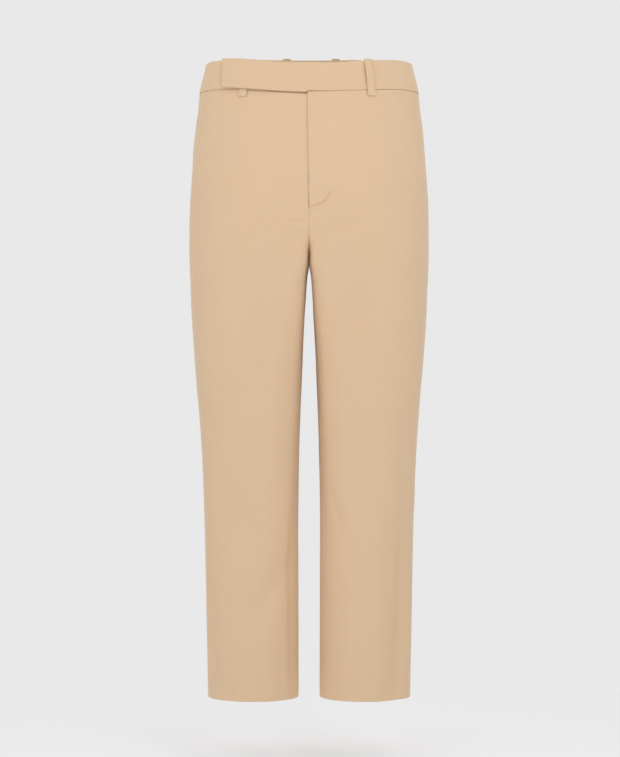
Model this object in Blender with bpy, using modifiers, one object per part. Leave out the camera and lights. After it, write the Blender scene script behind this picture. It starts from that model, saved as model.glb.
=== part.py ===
"""Straight cropped wool trousers, filled out as they are when worn, with no wearer.

Metres, +Z up, front towards -Y, so the wearer's left is +X. The origin is the centre of the
waist opening, level with the middle of the waistband at the sides.

The cloth's outer surface is worked out once, from the LEVELS table of sizes up the body.
Each cut piece is a stretch of that surface, moved out or in from it where it lies on another.
"""

import bisect
import functools
import math

import bmesh
import bpy
import numpy as np

# ---------------------------------------------------------------- driving sizes

MM = 0.001
SEAM_GAP = 0.3 * MM  # between two pieces at a seam
CLOTH = 1.2 * MM  # the leg panels' wall
BAND_WALL = 2.2 * MM  # the waistband: cloth, canvas and cloth
BAND_HEIGHT = 43 * MM
BAND_PROUD = 0.6 * MM  # how far the waistband's face stands out from the panels'
BAND_FOOT = SEAM_GAP + 0.4 * MM  # from the waist seam up to the band, whose wall leans inwards

HEM_Z = -891 * MM
CROTCH_Z = -264 * MM
CROTCH_Y = 12 * MM
FRONT_FORK_Z = -207 * MM  # where the front seam starts to turn under
BACK_FORK_Z = -180 * MM
FORK_POWERS = {"front": 3.0, "back": 2.2}  # square the seam's curve through the fork
INSEAM_OPENS = 20 * MM  # below the crotch point, the height over which the legs part
INSEAM_CENTRED_Z = -564 * MM  # from here down the inseam is midway between front and back

# Heights of the waist seam at the centre front, the sides and the centre back.
SEAM_FRONT_Z = -26.9 * MM
SEAM_SIDE_Z = -20.5 * MM
SEAM_BACK_Z = -0.5 * MM
SEAM_LEVEL_SHARES = 0.1, 0.8  # the front seam rises between these shares of the way round
SEAM_BACK_LEVEL_SHARE = 0.33  # and the back seam is level up to this share
SEAM_FADE_Z = -110 * MM  # below this the rows are level

# One row for each height, in metres. side is half the width, and side_y how far back it lies;
# front and back are the section's furthest points, and the crests their distance from the
# centre line; inner is the inseam's distance from it; power squares the section's corners, and
# front_power the front's inner one.
COLUMNS = ("z", "side", "side_y", "front", "back", "front_crest", "back_crest", "inner")
COLUMNS += ("power", "front_power")
LEVELS = np.array(
    [
        (0.060, 0.1405, 0.000, -0.0800, 0.0785, 0.000, 0.000, 0.0000, 2.40, 6.0),
        (0.0215, 0.1487, 0.000, -0.0840, 0.0845, 0.000, 0.000, 0.0000, 2.40, 6.0),
        (-0.0215, 0.1586, 0.000, -0.0890, 0.0905, 0.000, 0.000, 0.0000, 2.40, 6.0),
        (-0.045, 0.1609, 0.001, -0.0921, 0.0958, 0.005, 0.005, 0.0000, 2.38, 6.0),
        (-0.070, 0.1645, 0.003, -0.0950, 0.1020, 0.010, 0.010, 0.0000, 2.35, 6.0),
        (-0.128, 0.1694, 0.006, -0.0990, 0.1170, 0.028, 0.030, 0.0000, 2.30, 6.5),
        (-0.186, 0.1728, 0.008, -0.1000, 0.1240, 0.054, 0.056, 0.0000, 2.30, 9.0),
        (-0.244, 0.1734, 0.008, -0.0985, 0.1190, 0.076, 0.078, 0.0000, 2.35, 12.0),
        (-0.302, 0.1716, 0.006, -0.0950, 0.1070, 0.085, 0.086, 0.0040, 2.35, 9.0),
        (-0.360, 0.1690, 0.004, -0.0900, 0.0950, 0.087, 0.087, 0.0074, 2.35, 6.0),
        (-0.447, 0.1620, 0.002, -0.0810, 0.0820, 0.086, 0.086, 0.0110, 2.30, 4.0),
        (-0.534, 0.1556, 0.001, -0.0730, 0.0735, 0.085, 0.085, 0.0140, 2.20, 3.2),
        (-0.621, 0.1520, 0.000, -0.0665, 0.0680, 0.084, 0.084, 0.0154, 2.08, 2.7),
        (-0.737, 0.1494, 0.000, -0.0630, 0.0640, 0.082, 0.082, 0.0152, 2.00, 2.3),
        (-0.891, 0.1465, 0.000, -0.0600, 0.0610, 0.081, 0.081, 0.0149, 2.00, 2.1),
    ]
)[::-1]

# The largest folds, in metres: each is a soft trough along a line from its top to its foot.
# x is the distance from the centre line.
FOLD_COLUMNS = ("panel", "top_x", "top_z", "foot_x", "foot_z", "half_width", "depth")
FOLDS = (
    ("front_right", 0.118, -0.440, 0.113, -0.660, 0.032, 0.0036),
    ("front_right", 0.024, -0.690, 0.082, -0.775, 0.026, 0.0030),
    ("front_right", 0.100, -0.620, 0.070, -0.660, 0.028, 0.0018),
    ("front_left", 0.078, -0.310, 0.070, -0.420, 0.032, 0.0034),
    ("front_left", 0.074, -0.480, 0.086, -0.590, 0.030, 0.0024),
    ("front_left", 0.124, -0.640, 0.122, -0.895, 0.024, 0.0046),
    ("back_right", 0.030, -0.300, 0.128, -0.352, 0.024, 0.0034),
    ("back_right", 0.040, -0.560, 0.120, -0.520, 0.026, 0.0028),
    ("back_right", 0.096, -0.660, 0.078, -0.840, 0.028, 0.0024),
    ("back_left", 0.034, -0.312, 0.120, -0.338, 0.024, 0.0030),
    ("back_left", 0.052, -0.512, 0.124, -0.560, 0.028, 0.0030),
    ("back_left", 0.070, -0.640, 0.094, -0.800, 0.026, 0.0022),
)
FOLD_END = 35 * MM  # a fold fades out over this far each side of its ends
FOLD_FREE = 6 * MM, 24 * MM  # no fold this near a seam, and a whole one this far from it

# The fly: the left front's folded edge laps over the right front as far as its stitched end.
FLY_LAP = 2.2 * MM  # past the centre line at the waist, from where it narrows to the end
FLY_UNDERLAP = 5 * MM  # the right front's edge, hidden behind it
FLY_DIP_START_Z = -184 * MM  # below this the right front comes out level with the left
FLY_UNDERLAP_FADE = 30 * MM  # its hidden edge narrows over this height above it
FLY_END_Z = -191 * MM
FLY_DIP_END_Z = -204 * MM
FLY_DIP_FLAT = 8 * MM  # the right front is held back for this far from the centre
FLY_DIP_REACH = 45 * MM
FACING_WALL = 1.0 * MM
FLY_DIP = CLOTH + SEAM_GAP + FACING_WALL + SEAM_GAP
FACING_DEPTH = CLOTH + SEAM_GAP
FACING_WIDTH = 30 * MM
FACING_EDGE = 1.3 * MM
FACING_END_Z = FLY_END_Z + 2 * MM
FACING_CURVE = 32 * MM  # height of its rounded lower end
FACING_NARROW = 0.26  # its width at the very end, as a share
SLIDER_SIZE = (7 * MM, 1.8 * MM, 9 * MM)  # across, thick and tall
SLIDER_DROP = 12 * MM  # from the top of the zip
PULL_SIZE = (4.5 * MM, 0.8 * MM, 20 * MM)
CHAIN_CENTRE = 10 * MM  # its distance from the centre line
CHAIN_WIDTH = 5 * MM
CHAIN_HEIGHT = 0.9 * MM
TAPE_DEPTH = FLY_DIP + SLIDER_SIZE[1] + SEAM_GAP + CHAIN_HEIGHT
TAPE_WALL = 1.0 * MM
TAPE_EDGES = (-6 * MM, 22 * MM)
ZIP_TOP_DROP = 3 * MM  # from the waist seam
ZIP_END_Z = -184 * MM
SHIELD_DEPTH = TAPE_DEPTH + TAPE_WALL + 2 * SEAM_GAP
SHIELD_WALL = 1.6 * MM
SHIELD_TOP_DROP = 1.3 * MM
SHIELD_EDGES = (-8 * MM, 36 * MM)

# The waistband: its parts are placed by their share of the way from centre front to side.
TAB_END_SHARE = 0.617
TAB_OVERHANG = 1.3 * MM  # the tab's lower edge hangs below the waist seam at the fly
TAB_STEP = 1 * MM  # the width of the step down to it, just past the fly's edge
TAB_END_RISE = 3.0 * MM  # and rises above it at the tab's end
TAB_TOP_RISE = 2.3 * MM  # the tab's upper edge rises this much between two shares past the centre
TAB_TOP_FROM, TAB_TOP_BY = 0.12, 0.58
TOP_DIP = 1.3 * MM  # at the centre front the band's upper edge is lower, up to the second share
TOP_DIP_FROM, TOP_DIP_BY = 0.2, 0.5
TAB_LIFT_START = 1.6 * MM  # the tab's face stands out more where it covers the right band
TAB_LIFT_END = 4.6 * MM  # and still more where it covers the hook and a belt loop
TAB_LIFT_FROM, TAB_LIFT_BY = 0.05, 0.36  # shares past the centre between which that comes in
UNDERLAP_SHARE = 0.19  # how far the right band runs on behind the left
UNDERLAP_FADE = 0.22  # and as far again to the other side, the overlapping bands draw apart
UNDERLAP_DIP = 2.9 * MM

LOOP_WIDTH = 11.5 * MM
LOOP_WALL = 1.4 * MM
LOOP_FLAT_WALL = 1.1 * MM  # the one pressed flat under the tab
LOOP_FOOT_OUT = 0.6 * MM  # its back's distance from the panel where it is sewn on
LOOP_BOW = 1.4 * MM
# Each loop's face and half, the shares of the way from centre to side where its top and its
# foot lie, how far it reaches above the band and below the waist seam, its wall, and how far
# its middle bows out.
LOOPS = {
    "loop_front_right": ("front", -1, 0.458, 0.458, 0.6 * MM, 9.6 * MM, LOOP_FLAT_WALL, 0.0),
    "loop_front_left": ("front", 1, 0.435, 0.431, 1.8 * MM, 8.5 * MM, LOOP_WALL, LOOP_BOW),
    "loop_back_right": ("back", -1, 0.177, 0.177, 2.2 * MM, 8.5 * MM, LOOP_WALL, LOOP_BOW),
    "loop_back_left": ("back", 1, 0.212, 0.212, 2.2 * MM, 8.5 * MM, LOOP_WALL, LOOP_BOW),
}

HOOK_SHARE = 0.57
PLATE_SIZE = (11 * MM, 8 * MM)  # across and up
PLATE_WALL = 0.6 * MM

CLOTH_COLOUR = (0.71, 0.51, 0.33)
TAPE_COLOUR = (0.60, 0.44, 0.30)
STEEL_COLOUR = (0.62, 0.61, 0.58)

# Where columns of points lie, closer at the seams. On a panel they are shares of the way from
# its inner edge to the crest, then from the crest to the side seam.
INNER_COLUMNS = {
    "front": (0, 0.03, 0.1, 0.18, 0.28, 0.38, 0.46, 0.52, 0.59, 0.7, 0.84),
    "back": (0, 0.03, 0.12, 0.25, 0.4, 0.56, 0.72, 0.86),
}
OUTER_COLUMNS = (0, 0.16, 0.33, 0.5, 0.67, 0.83, 0.94, 0.985, 1)
BAND_COLUMNS = (0, 0.06, 0.12, 0.19, 0.26, 0.36, 0.48, 0.6, 0.72, 0.81, 0.89, 0.95, 0.985, 1)
TAB_COLUMNS = (0.05, 0.1, 0.17, 0.25, 0.34, 0.43, 0.52, 0.6, TAB_END_SHARE)
UNDERLAP_COLUMNS = (UNDERLAP_SHARE, 0.15, 0.1, 0.05)
WAIST_CREST = 0.42  # at the waist, where the section has no crest, its share of the way round
WAIST_CREST_Z = -60 * MM
FORK_ROW_DROP = 41 * MM  # the row through the crotch point is this much lower at the side
FORK_ROW_FADE = 180 * MM
INSEAM_CROWDING = 1.4  # above 1, the rows crowd towards the crotch point
UPPER_ROWS, FORK_ROWS, INSEAM_ROWS, LOWER_ROWS = 8, 7, 6, 7
SECTION_POINTS = 80  # in each quarter of a section
FLAT_SHARE = 0.9995  # where the seam is this near the section's depth, the section runs flat
TANGENT_STEP = 1.5 * MM


# ---------------------------------------------------------------- the outer surface


def smooth(value, low, high):
    """0 at low, 1 at high, with no corner at either."""
    share = min(1.0, max(0.0, (value - low) / (high - low)))
    return share * share * (3 - 2 * share)


HEIGHTS = LEVELS[:, 0]
SLOPES = np.array([np.gradient(column, HEIGHTS) for column in LEVELS.T]).T


@functools.lru_cache(maxsize=None)
def sizes_at(z):
    """Every column of LEVELS at height z, on a smooth curve through the rows."""
    i = min(max(bisect.bisect_right(HEIGHTS.tolist(), z) - 1, 0), len(HEIGHTS) - 2)
    step = HEIGHTS[i + 1] - HEIGHTS[i]
    t = (z - HEIGHTS[i]) / step
    found = (
        (2 * t**3 - 3 * t**2 + 1) * LEVELS[i]
        + (t**3 - 2 * t**2 + t) * step * SLOPES[i]
        + (3 * t**2 - 2 * t**3) * LEVELS[i + 1]
        + (t**3 - t**2) * step * SLOPES[i + 1]
    )
    return dict(zip(COLUMNS, found))


def seam_depth(face, z):
    """How far the centre seam lies in front of or behind the crotch point, at height z."""
    fork = FRONT_FORK_Z if face == "front" else BACK_FORK_Z
    surface = abs(sizes_at(z)[face] - CROTCH_Y)
    if z >= fork:
        return surface
    down = min(1.0, (fork - z) / (fork - CROTCH_Z))
    power = FORK_POWERS[face]
    return surface * (1 - down**power) ** (1 / power)


def quarter(crest, end, power, first=0.0):
    """Points of a squared quarter oval from its end, where it runs in y, to its crest, where it
    runs in x. first is how much of the way in y is left out at the end."""
    angle = np.linspace(math.asin(first ** (power / 2)), math.pi / 2, SECTION_POINTS)
    across = (1 - first**power) ** (1 / power)
    x = crest[0] + (end[0] - crest[0]) / across * np.cos(angle).clip(0) ** (2 / power)
    y = end[1] + (crest[1] - end[1]) * np.sin(angle) ** (2 / power)
    return np.stack([x, y], axis=1)


@functools.lru_cache(maxsize=None)
def half_section(face, z):
    """The outer line of half the body, or of one leg, at height z, with x above 0, from the
    centre seam or inseam to the side: its points, each one's distance along, and the crest's."""
    size = sizes_at(z)
    inner_power = size["front_power" if face == "front" else "power"]
    crest = np.array([size[face + "_crest"], size[face]])
    inner_x = SEAM_GAP / 2 + size["inner"] * smooth(-z, -CROTCH_Z, -CROTCH_Z + INSEAM_OPENS)
    inner_y = CROTCH_Y * (1 - smooth(-z, -CROTCH_Z, -INSEAM_CENTRED_Z))
    share = seam_depth(face, z) / abs(inner_y - crest[1]) if z > CROTCH_Z else 0.0
    if share < FLAT_SHARE:
        inner = quarter(crest, (inner_x, inner_y), inner_power, share)
    else:
        inner = np.array([(inner_x, crest[1]), (max(crest[0], 2 * inner_x), crest[1])])
    outer = quarter(crest, (size["side"], size["side_y"]), size["power"])[::-1]
    points = np.concatenate([inner, outer[1:]])
    steps = np.hypot(*np.diff(points, axis=0).T)
    along = np.concatenate([[0], np.cumsum(steps)])
    return points, along, along[len(inner) - 1]


def section_length(face, z):
    return half_section(face, z)[1][-1]


def crest_distance(face, z):
    """How far along the section its crest lies, or a set share of the way at the waist."""
    below = smooth(-z, -WAIST_CREST_Z, -BACK_FORK_Z)
    return WAIST_CREST * section_length(face, z) * (1 - below) + half_section(face, z)[2] * below


def surface_point(face, half, along, z, out=0.0):
    """The point of the outer surface this far along its section from the centre seam or inseam.
    A distance below 0 runs on past the centre front. out moves it out from the cloth."""
    points, distances, _ = half_section(face, z)
    if along < 0:
        half, along = -half, -along - SEAM_GAP
    ends = max(along - TANGENT_STEP, 0.0), min(along + TANGENT_STEP, distances[-1])
    (x, x_low, x_high), (y, y_low, y_high) = (
        np.interp((along, *ends), distances, values) for values in points.T
    )
    run = math.hypot(x_high - x_low, y_high - y_low)
    turn = out / run if face == "front" else -out / run
    return (half * (x + (y_high - y_low) * turn), y - (x_high - x_low) * turn, z)


def waist_seam_z(face, share):
    """Height of the waist seam at this share of the way from the centre to the side."""
    if face == "front":
        return SEAM_FRONT_Z + (SEAM_SIDE_Z - SEAM_FRONT_Z) * smooth(abs(share), *SEAM_LEVEL_SHARES)
    return SEAM_BACK_Z + (SEAM_SIDE_Z - SEAM_BACK_Z) * smooth(abs(share), SEAM_BACK_LEVEL_SHARE, 1)


def fold_depth(panel, x, z):
    """How deep the panel's folds are at a point x from the centre line and z up."""
    deepest = 0.0
    for fold in FOLDS:
        row = dict(zip(FOLD_COLUMNS, fold))
        if row["panel"] != panel:
            continue
        run = row["foot_x"] - row["top_x"], row["foot_z"] - row["top_z"]
        length = math.hypot(*run)
        from_top = x - row["top_x"], z - row["top_z"]
        down = (from_top[0] * run[0] + from_top[1] * run[1]) / length
        aside = abs(from_top[0] * run[1] - from_top[1] * run[0]) / length
        ends = smooth(down, -FOLD_END, FOLD_END) * (1 - smooth(down, length - FOLD_END, length + FOLD_END))
        deepest += row["depth"] * ends * (1 - smooth(aside, 0, row["half_width"]))
    return deepest


# ---------------------------------------------------------------- building


def material(name, colour, roughness, metallic=0.0):
    made = bpy.data.materials.new(name)
    made.use_nodes = True
    shader = made.node_tree.nodes["Principled BSDF"]
    shader.inputs["Base Color"].default_value = (*colour, 1.0)
    shader.inputs["Roughness"].default_value = roughness
    shader.inputs["Metallic"].default_value = metallic
    return made


def add_part(name, mesh, finish):
    mesh.materials.append(finish)
    made = bpy.data.objects.new(name, mesh)
    PARTS.objects.link(made)
    return made


def cloth_piece(name, rows, wall, finish, outwards):
    """A cut piece: a sheet through rows of points on its face, with its wall behind it. Most of
    its face looks the way outwards points."""
    mesh = bpy.data.meshes.new(name)
    count = len(rows[0])
    points = [point for row in rows for point in row]
    faces = [
        (i * count + j, i * count + j + 1, (i + 1) * count + j + 1, (i + 1) * count + j)
        for i in range(len(rows) - 1)
        for j in range(count - 1)
    ]
    mesh.from_pydata(points, [], faces)
    if sum(face.area * face.normal.dot(outwards) for face in mesh.polygons) < 0:
        mesh.flip_normals()
    mesh.shade_smooth()
    made = add_part(name, mesh, finish)
    solid = made.modifiers.new("wall", "SOLIDIFY")
    solid.thickness = wall
    solid.offset = -1
    return made


# ---------------------------------------------------------------- the leg panels


def panel_heights(face):
    """Heights of a panel's rows, at its inner edge and at its side seam. They are level at the
    waist and the hem. Round the fork they follow the inner edge as it turns under, and fan out."""
    upper = np.linspace(SEAM_SIDE_Z, FRONT_FORK_Z, UPPER_ROWS + 1)
    fork_rows = FORK_ROWS if face == "front" else FORK_ROWS + 1
    fork = FRONT_FORK_Z if face == "front" else BACK_FORK_Z
    turn = np.linspace(0, math.pi / 2, fork_rows)
    turning = fork - (fork - CROTCH_Z) * np.sin(turn)
    fork_side = np.linspace(upper[-1], CROTCH_Z - FORK_ROW_DROP, FORK_ROWS)
    inseam = CROTCH_Z - FORK_ROW_FADE * np.linspace(0, 1, INSEAM_ROWS + 1)[1:] ** INSEAM_CROWDING
    drop = [FORK_ROW_DROP * (1 - smooth(CROTCH_Z - z, 0, FORK_ROW_FADE)) for z in inseam]
    lower = np.linspace(inseam[-1], HEM_Z, LOWER_ROWS + 1)[1:]
    edge = np.concatenate([upper[: UPPER_ROWS + FORK_ROWS - fork_rows], turning, inseam, lower])
    side = np.concatenate([upper[:-1], fork_side, inseam - drop, lower])
    return [(float(one), float(other)) for one, other in zip(edge, side)]


def fly_edges(z):
    """Where the left front's and the right front's edges lie past the centre line, at height z."""
    down = smooth(-z, -SEAM_FRONT_Z, -FLY_END_Z)
    left = -FLY_LAP * (1 - down) + SEAM_GAP / 2 * down
    under = smooth(-z, -FLY_DIP_START_Z - FLY_UNDERLAP_FADE, -FLY_DIP_START_Z)
    right = FLY_UNDERLAP * (1 - under) + (left - SEAM_GAP) * under
    return left, right


def fly_dip(from_centre, z):
    """How far the right front is held back behind the fly facing, this far from the centre."""
    reach = 1 - smooth(from_centre, FLY_DIP_FLAT, FLY_DIP_REACH)
    return FLY_DIP * reach * (1 - smooth(-z, -FLY_DIP_START_Z, -FLY_DIP_END_Z))


def panel_edge(name, z):
    """How far along the section, from the centre seam or inseam, a panel's first point lies."""
    left, right = fly_edges(z)
    if z < CROTCH_Z + SEAM_GAP:  # from the crotch point down, fronts and backs meet here
        return SEAM_GAP / 2
    if name == "front_left" and z > FLY_END_Z:
        return left
    if name == "front_right" and z > FLY_END_Z:
        return -right
    return 0.0


def panel_depth(name, along, z):
    """How far a panel's face lies behind the outer surface, in its folds and behind the fly."""
    face = name.split("_")[0]
    to_seam = min(abs(along), section_length(face, z) - along)
    x = abs(surface_point(face, 1, along, z)[0])
    depth = fold_depth(name, x, z) * smooth(to_seam, *FOLD_FREE)
    return depth + (fly_dip(along, z) if name == "front_right" else 0.0)


def leg_panel(name, finish):
    """A front or back, from the waist seam to the hem, as rows of points from its inner edge."""
    face = name.split("_")[0]
    half = 1 if name.endswith("left") else -1
    rows = []
    for edge_z, side_z in panel_heights(face):
        fade = 1 - smooth(-side_z, -SEAM_SIDE_Z, -SEAM_FADE_Z)

        def height(share, edge_share):
            """The row's height: it follows the waist seam at the top, and the fork's edge below."""
            bend = fade * (waist_seam_z(face, share) - SEAM_SIDE_Z)
            return side_z + bend + (edge_z - side_z) * edge_share**2

        first = height(0, 1)
        reach = crest_distance(face, first) - panel_edge(name, first)
        row = []
        for column in INNER_COLUMNS[face]:
            z = height(WAIST_CREST * column, 1 - column)
            row.append((crest_distance(face, z) - reach * (1 - column), z))
        for column in OUTER_COLUMNS:
            z = height(WAIST_CREST + (1 - WAIST_CREST) * column, 0)
            crest = crest_distance(face, z)
            row.append((crest + (section_length(face, z) - SEAM_GAP / 2 - crest) * column, z))
        rows.append([surface_point(face, half, along, z, -panel_depth(name, along, z)) for along, z in row])
    return cloth_piece(name, rows, CLOTH, finish, (0, -1 if face == "front" else 1, 0))


# ---------------------------------------------------------------- the waistband


def band_rows(shares, face, half, lower, upper, out):
    """Three rows up a band. lower and upper give its edges above the waist seam, and out how far
    its face stands from the panels', each from the share of the way round."""
    rows = []
    for up in (1.0, 0.5, 0.0):
        row = []
        for share in shares:
            z = waist_seam_z(face, share) + lower(share) * (1 - up) + upper(share) * up
            level = z if share > 0 else waist_seam_z(face, share)  # past the centre, ends are upright
            length = section_length(face, level) - SEAM_GAP / 2
            row.append(surface_point(face, half, share * length, z, out(share)))
        rows.append(row)
    return rows


def band_foot(_):
    return BAND_FOOT


def back_band_top(_):
    return BAND_HEIGHT


def front_band_top(share):
    return BAND_HEIGHT - TOP_DIP * (1 - smooth(abs(share), TOP_DIP_FROM, TOP_DIP_BY))


def band_out(_):
    return BAND_PROUD


def waistband_left(finish):
    """The left front band, which runs on past the fly as a long tab over the right side."""
    corner = FLY_LAP / section_length("front", SEAM_FRONT_Z)
    notch = (FLY_LAP + TAB_STEP) / section_length("front", SEAM_FRONT_Z)
    shares = [*BAND_COLUMNS[::-1], -corner, -notch, *(-share for share in TAB_COLUMNS)]

    def lower(share):
        if share >= -corner:
            return BAND_FOOT
        return -TAB_OVERHANG - (TAB_OVERHANG + TAB_END_RISE) * share / TAB_END_SHARE

    def upper(share):
        return front_band_top(share) + TAB_TOP_RISE * smooth(-share, TAB_TOP_FROM, TAB_TOP_BY)

    def out(share):
        start = TAB_LIFT_START * smooth(-share, -UNDERLAP_FADE, TAB_LIFT_FROM)
        rest = (TAB_LIFT_END - TAB_LIFT_START) * smooth(-share, TAB_LIFT_FROM, TAB_LIFT_BY)
        return BAND_PROUD + start + rest

    rows = band_rows(shares, "front", 1, lower, upper, out)
    return cloth_piece("waistband_left", rows, BAND_WALL, finish, (0, -1, 0))


def waistband_right(finish):
    """The right front band, whose end runs on behind the left band as the fly's underlap."""
    shares = [*(-share for share in UNDERLAP_COLUMNS), *BAND_COLUMNS]

    def out(share):
        return BAND_PROUD - UNDERLAP_DIP * smooth(-share, -UNDERLAP_FADE, TAB_LIFT_FROM)

    rows = band_rows(shares, "front", -1, band_foot, front_band_top, out)
    return cloth_piece("waistband_right", rows, BAND_WALL, finish, (0, -1, 0))


def waistband_back(finish):
    """The back band, in one piece from side seam to side seam."""
    halves = [
        band_rows(BAND_COLUMNS[::-1], "back", half, band_foot, back_band_top, band_out)
        for half in (1, -1)
    ]
    rows = [left[:-1] + [(0, left[-1][1], left[-1][2])] + right[-2::-1] for left, right in zip(*halves)]
    return cloth_piece("waistband_back", rows, BAND_WALL, finish, (0, 1, 0))


def belt_loop(name, finish):
    """A strip sewn to the band's top edge and to the panel below it."""
    face, half, top_share, foot_share, top, foot, wall, bow = LOOPS[name]
    on_band = BAND_PROUD + SEAM_GAP
    # Height above the waist seam, then how far the strip's back stands out from the panels'.
    profile = (
        (BAND_HEIGHT + top, on_band),
        (BAND_HEIGHT * 0.93, on_band),
        (BAND_HEIGHT * 0.75, on_band + bow * 0.8),
        (BAND_HEIGHT * 0.45, on_band + bow),
        (BAND_HEIGHT * 0.15, on_band + bow * 0.5),
        (0, on_band),
        (-foot * 0.3, (LOOP_FOOT_OUT + on_band) / 2),
        (-foot, LOOP_FOOT_OUT),
    )
    rows = []
    for above, behind in profile:
        down = (BAND_HEIGHT + top - above) / (BAND_HEIGHT + top + foot)
        share = top_share + (foot_share - top_share) * down
        z = waist_seam_z(face, share) + above
        first = share * section_length(face, z) - LOOP_WIDTH / 2
        places = np.linspace(first, first + LOOP_WIDTH, 4)
        rows.append([surface_point(face, half, along, z, behind + wall) for along in places])
    return cloth_piece(name, rows, wall, finish, (0, -1 if face == "front" else 1, 0))


# ---------------------------------------------------------------- the fly


def fly_strip(name, heights, edges, depth, wall, finish, columns=5):
    """A strip inside the fly: edges gives its two sides at a height, from the centre line."""
    rows = []
    for z in heights:
        places = np.linspace(*edges(z), columns)
        rows.append([surface_point("front", 1, along, z, -depth) for along in places])
    return cloth_piece(name, rows, wall, finish, (0, -1, 0))


def facing_edges(z):
    """The facing's two sides. Its free side curves in to the seam at the fly's stitched end."""
    into = min(1.0, max(0.0, (FACING_END_Z + FACING_CURVE - z) / FACING_CURVE))
    return FACING_EDGE, FACING_EDGE + FACING_WIDTH * math.sqrt(1 - (1 - FACING_NARROW**2) * into**2)


def fly_facing(finish):
    """The facing behind the left front's edge, with a rounded lower end."""
    straight = np.linspace(SEAM_FRONT_Z - SEAM_GAP, FACING_END_Z + FACING_CURVE, 7)[:-1]
    curved = FACING_END_Z + FACING_CURVE * (1 - np.sin(np.linspace(0, math.pi / 2, 7)))
    heights = np.concatenate([straight, curved]).tolist()
    return fly_strip("fly_facing", heights, facing_edges, FACING_DEPTH, FACING_WALL, finish)


def fly_shield(finish):
    """The doubled flap behind the zip."""
    heights = np.linspace(SEAM_FRONT_Z - SHIELD_TOP_DROP, FLY_END_Z, 9).tolist()
    return fly_strip("fly_shield", heights, lambda z: SHIELD_EDGES, SHIELD_DEPTH, SHIELD_WALL, finish, 7)


def loft(name, rings, finish):
    """A closed solid through rings. Each is a height, then pairs of distance across and depth in."""
    shape = bmesh.new()
    loops = []
    for z, outline in rings:
        points = [surface_point("front", 1, across, z, -depth) for across, depth in outline]
        loops.append([shape.verts.new(point) for point in points])
    for one, other in zip(loops, loops[1:]):
        for j in range(len(one)):
            shape.faces.new((one[j - 1], one[j], other[j], other[j - 1]))
    shape.faces.new(loops[0])
    shape.faces.new(loops[-1])
    bmesh.ops.recalc_face_normals(shape, faces=shape.faces)
    mesh = bpy.data.meshes.new(name)
    shape.to_mesh(mesh)
    shape.free()
    return add_part(name, mesh, finish)


def zip_closure(finish):
    """The closed zip: its tape, with the chain of teeth as one rib on the tape's face."""
    low, high = TAPE_EDGES
    left, right = CHAIN_CENTRE - CHAIN_WIDTH / 2, CHAIN_CENTRE + CHAIN_WIDTH / 2
    face, back, crown = TAPE_DEPTH, TAPE_DEPTH + TAPE_WALL, TAPE_DEPTH - CHAIN_HEIGHT
    outline = [(low, face), (left, face), (left, crown), (right, crown), (right, face), (high, face)]
    outline += [(high, back), (low, back)]
    heights = np.linspace(SEAM_FRONT_Z - ZIP_TOP_DROP, ZIP_END_Z, 9).tolist()
    return loft("zip", [(z, outline) for z in heights], finish)


def zip_slider(finish):
    """The slider's body in front of the chain, with its pull hanging flat below it."""
    width, thick, tall = SLIDER_SIZE
    pull_width, pull_thick, pull_long = PULL_SIZE
    top = SEAM_FRONT_Z - ZIP_TOP_DROP - SLIDER_DROP
    # Height, then how wide and how thick the ring there is.
    profile = (
        (top, width * 0.8, thick * 0.7),
        (top - tall * 0.2, width, thick),
        (top - tall * 0.8, width, thick),
        (top - tall, pull_width, pull_thick),
        (top - tall - pull_long, pull_width, pull_thick),
    )
    rings = []
    for z, across, deep in profile:
        left, right = CHAIN_CENTRE - across / 2, CHAIN_CENTRE + across / 2
        front, back = FLY_DIP, FLY_DIP + deep
        rings.append((z, [(left, front), (right, front), (right, back), (left, back)]))
    return loft("zip_slider", rings, finish)


# ---------------------------------------------------------------- the waist hook


def plate(name, out, finish):
    """A small steel plate between the tab and the right band; out is its face's distance."""
    width, tall = PLATE_SIZE
    middle_z = waist_seam_z("front", HOOK_SHARE) + BAND_HEIGHT / 2
    rows = []
    for up in (tall / 2, -tall / 2):
        z = middle_z + up
        first = HOOK_SHARE * section_length("front", z) - width / 2
        places = np.linspace(first, first + width, 3)
        rows.append([surface_point("front", -1, along, z, out) for along in places])
    return cloth_piece(name, rows, PLATE_WALL, finish, (0, -1, 0))


# ---------------------------------------------------------------- the garment

for old in list(bpy.data.objects):
    bpy.data.objects.remove(old)

PARTS = bpy.data.collections.new("wool_trousers")
bpy.context.scene.collection.children.link(PARTS)

wool = material("wool", CLOTH_COLOUR, 0.85)
tape = material("zip_tape", TAPE_COLOUR, 0.8)
steel = material("steel", STEEL_COLOUR, 0.35, 1.0)

for panel_name in ("front_right", "front_left", "back_right", "back_left"):
    leg_panel(panel_name, wool)
waistband_left(wool)
waistband_right(wool)
waistband_back(wool)
for loop_name in LOOPS:
    belt_loop(loop_name, wool)
fly_facing(wool)
fly_shield(wool)
zip_closure(tape)
zip_slider(steel)
bar_face = BAND_PROUD + SEAM_GAP + PLATE_WALL
plate("bar_plate", bar_face, steel)
plate("hook_plate", bar_face + SEAM_GAP + PLATE_WALL, steel)
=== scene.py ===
"""The looks of the wool trousers: fine cloth shells with their creases, seams and trim.

Metres, +Z up, front towards -Y, the wearer's left at +X, the same frame as the solids. The
cloth's outer surface is worked out from the same table of sizes as the solids are.
"""

import math

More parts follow.
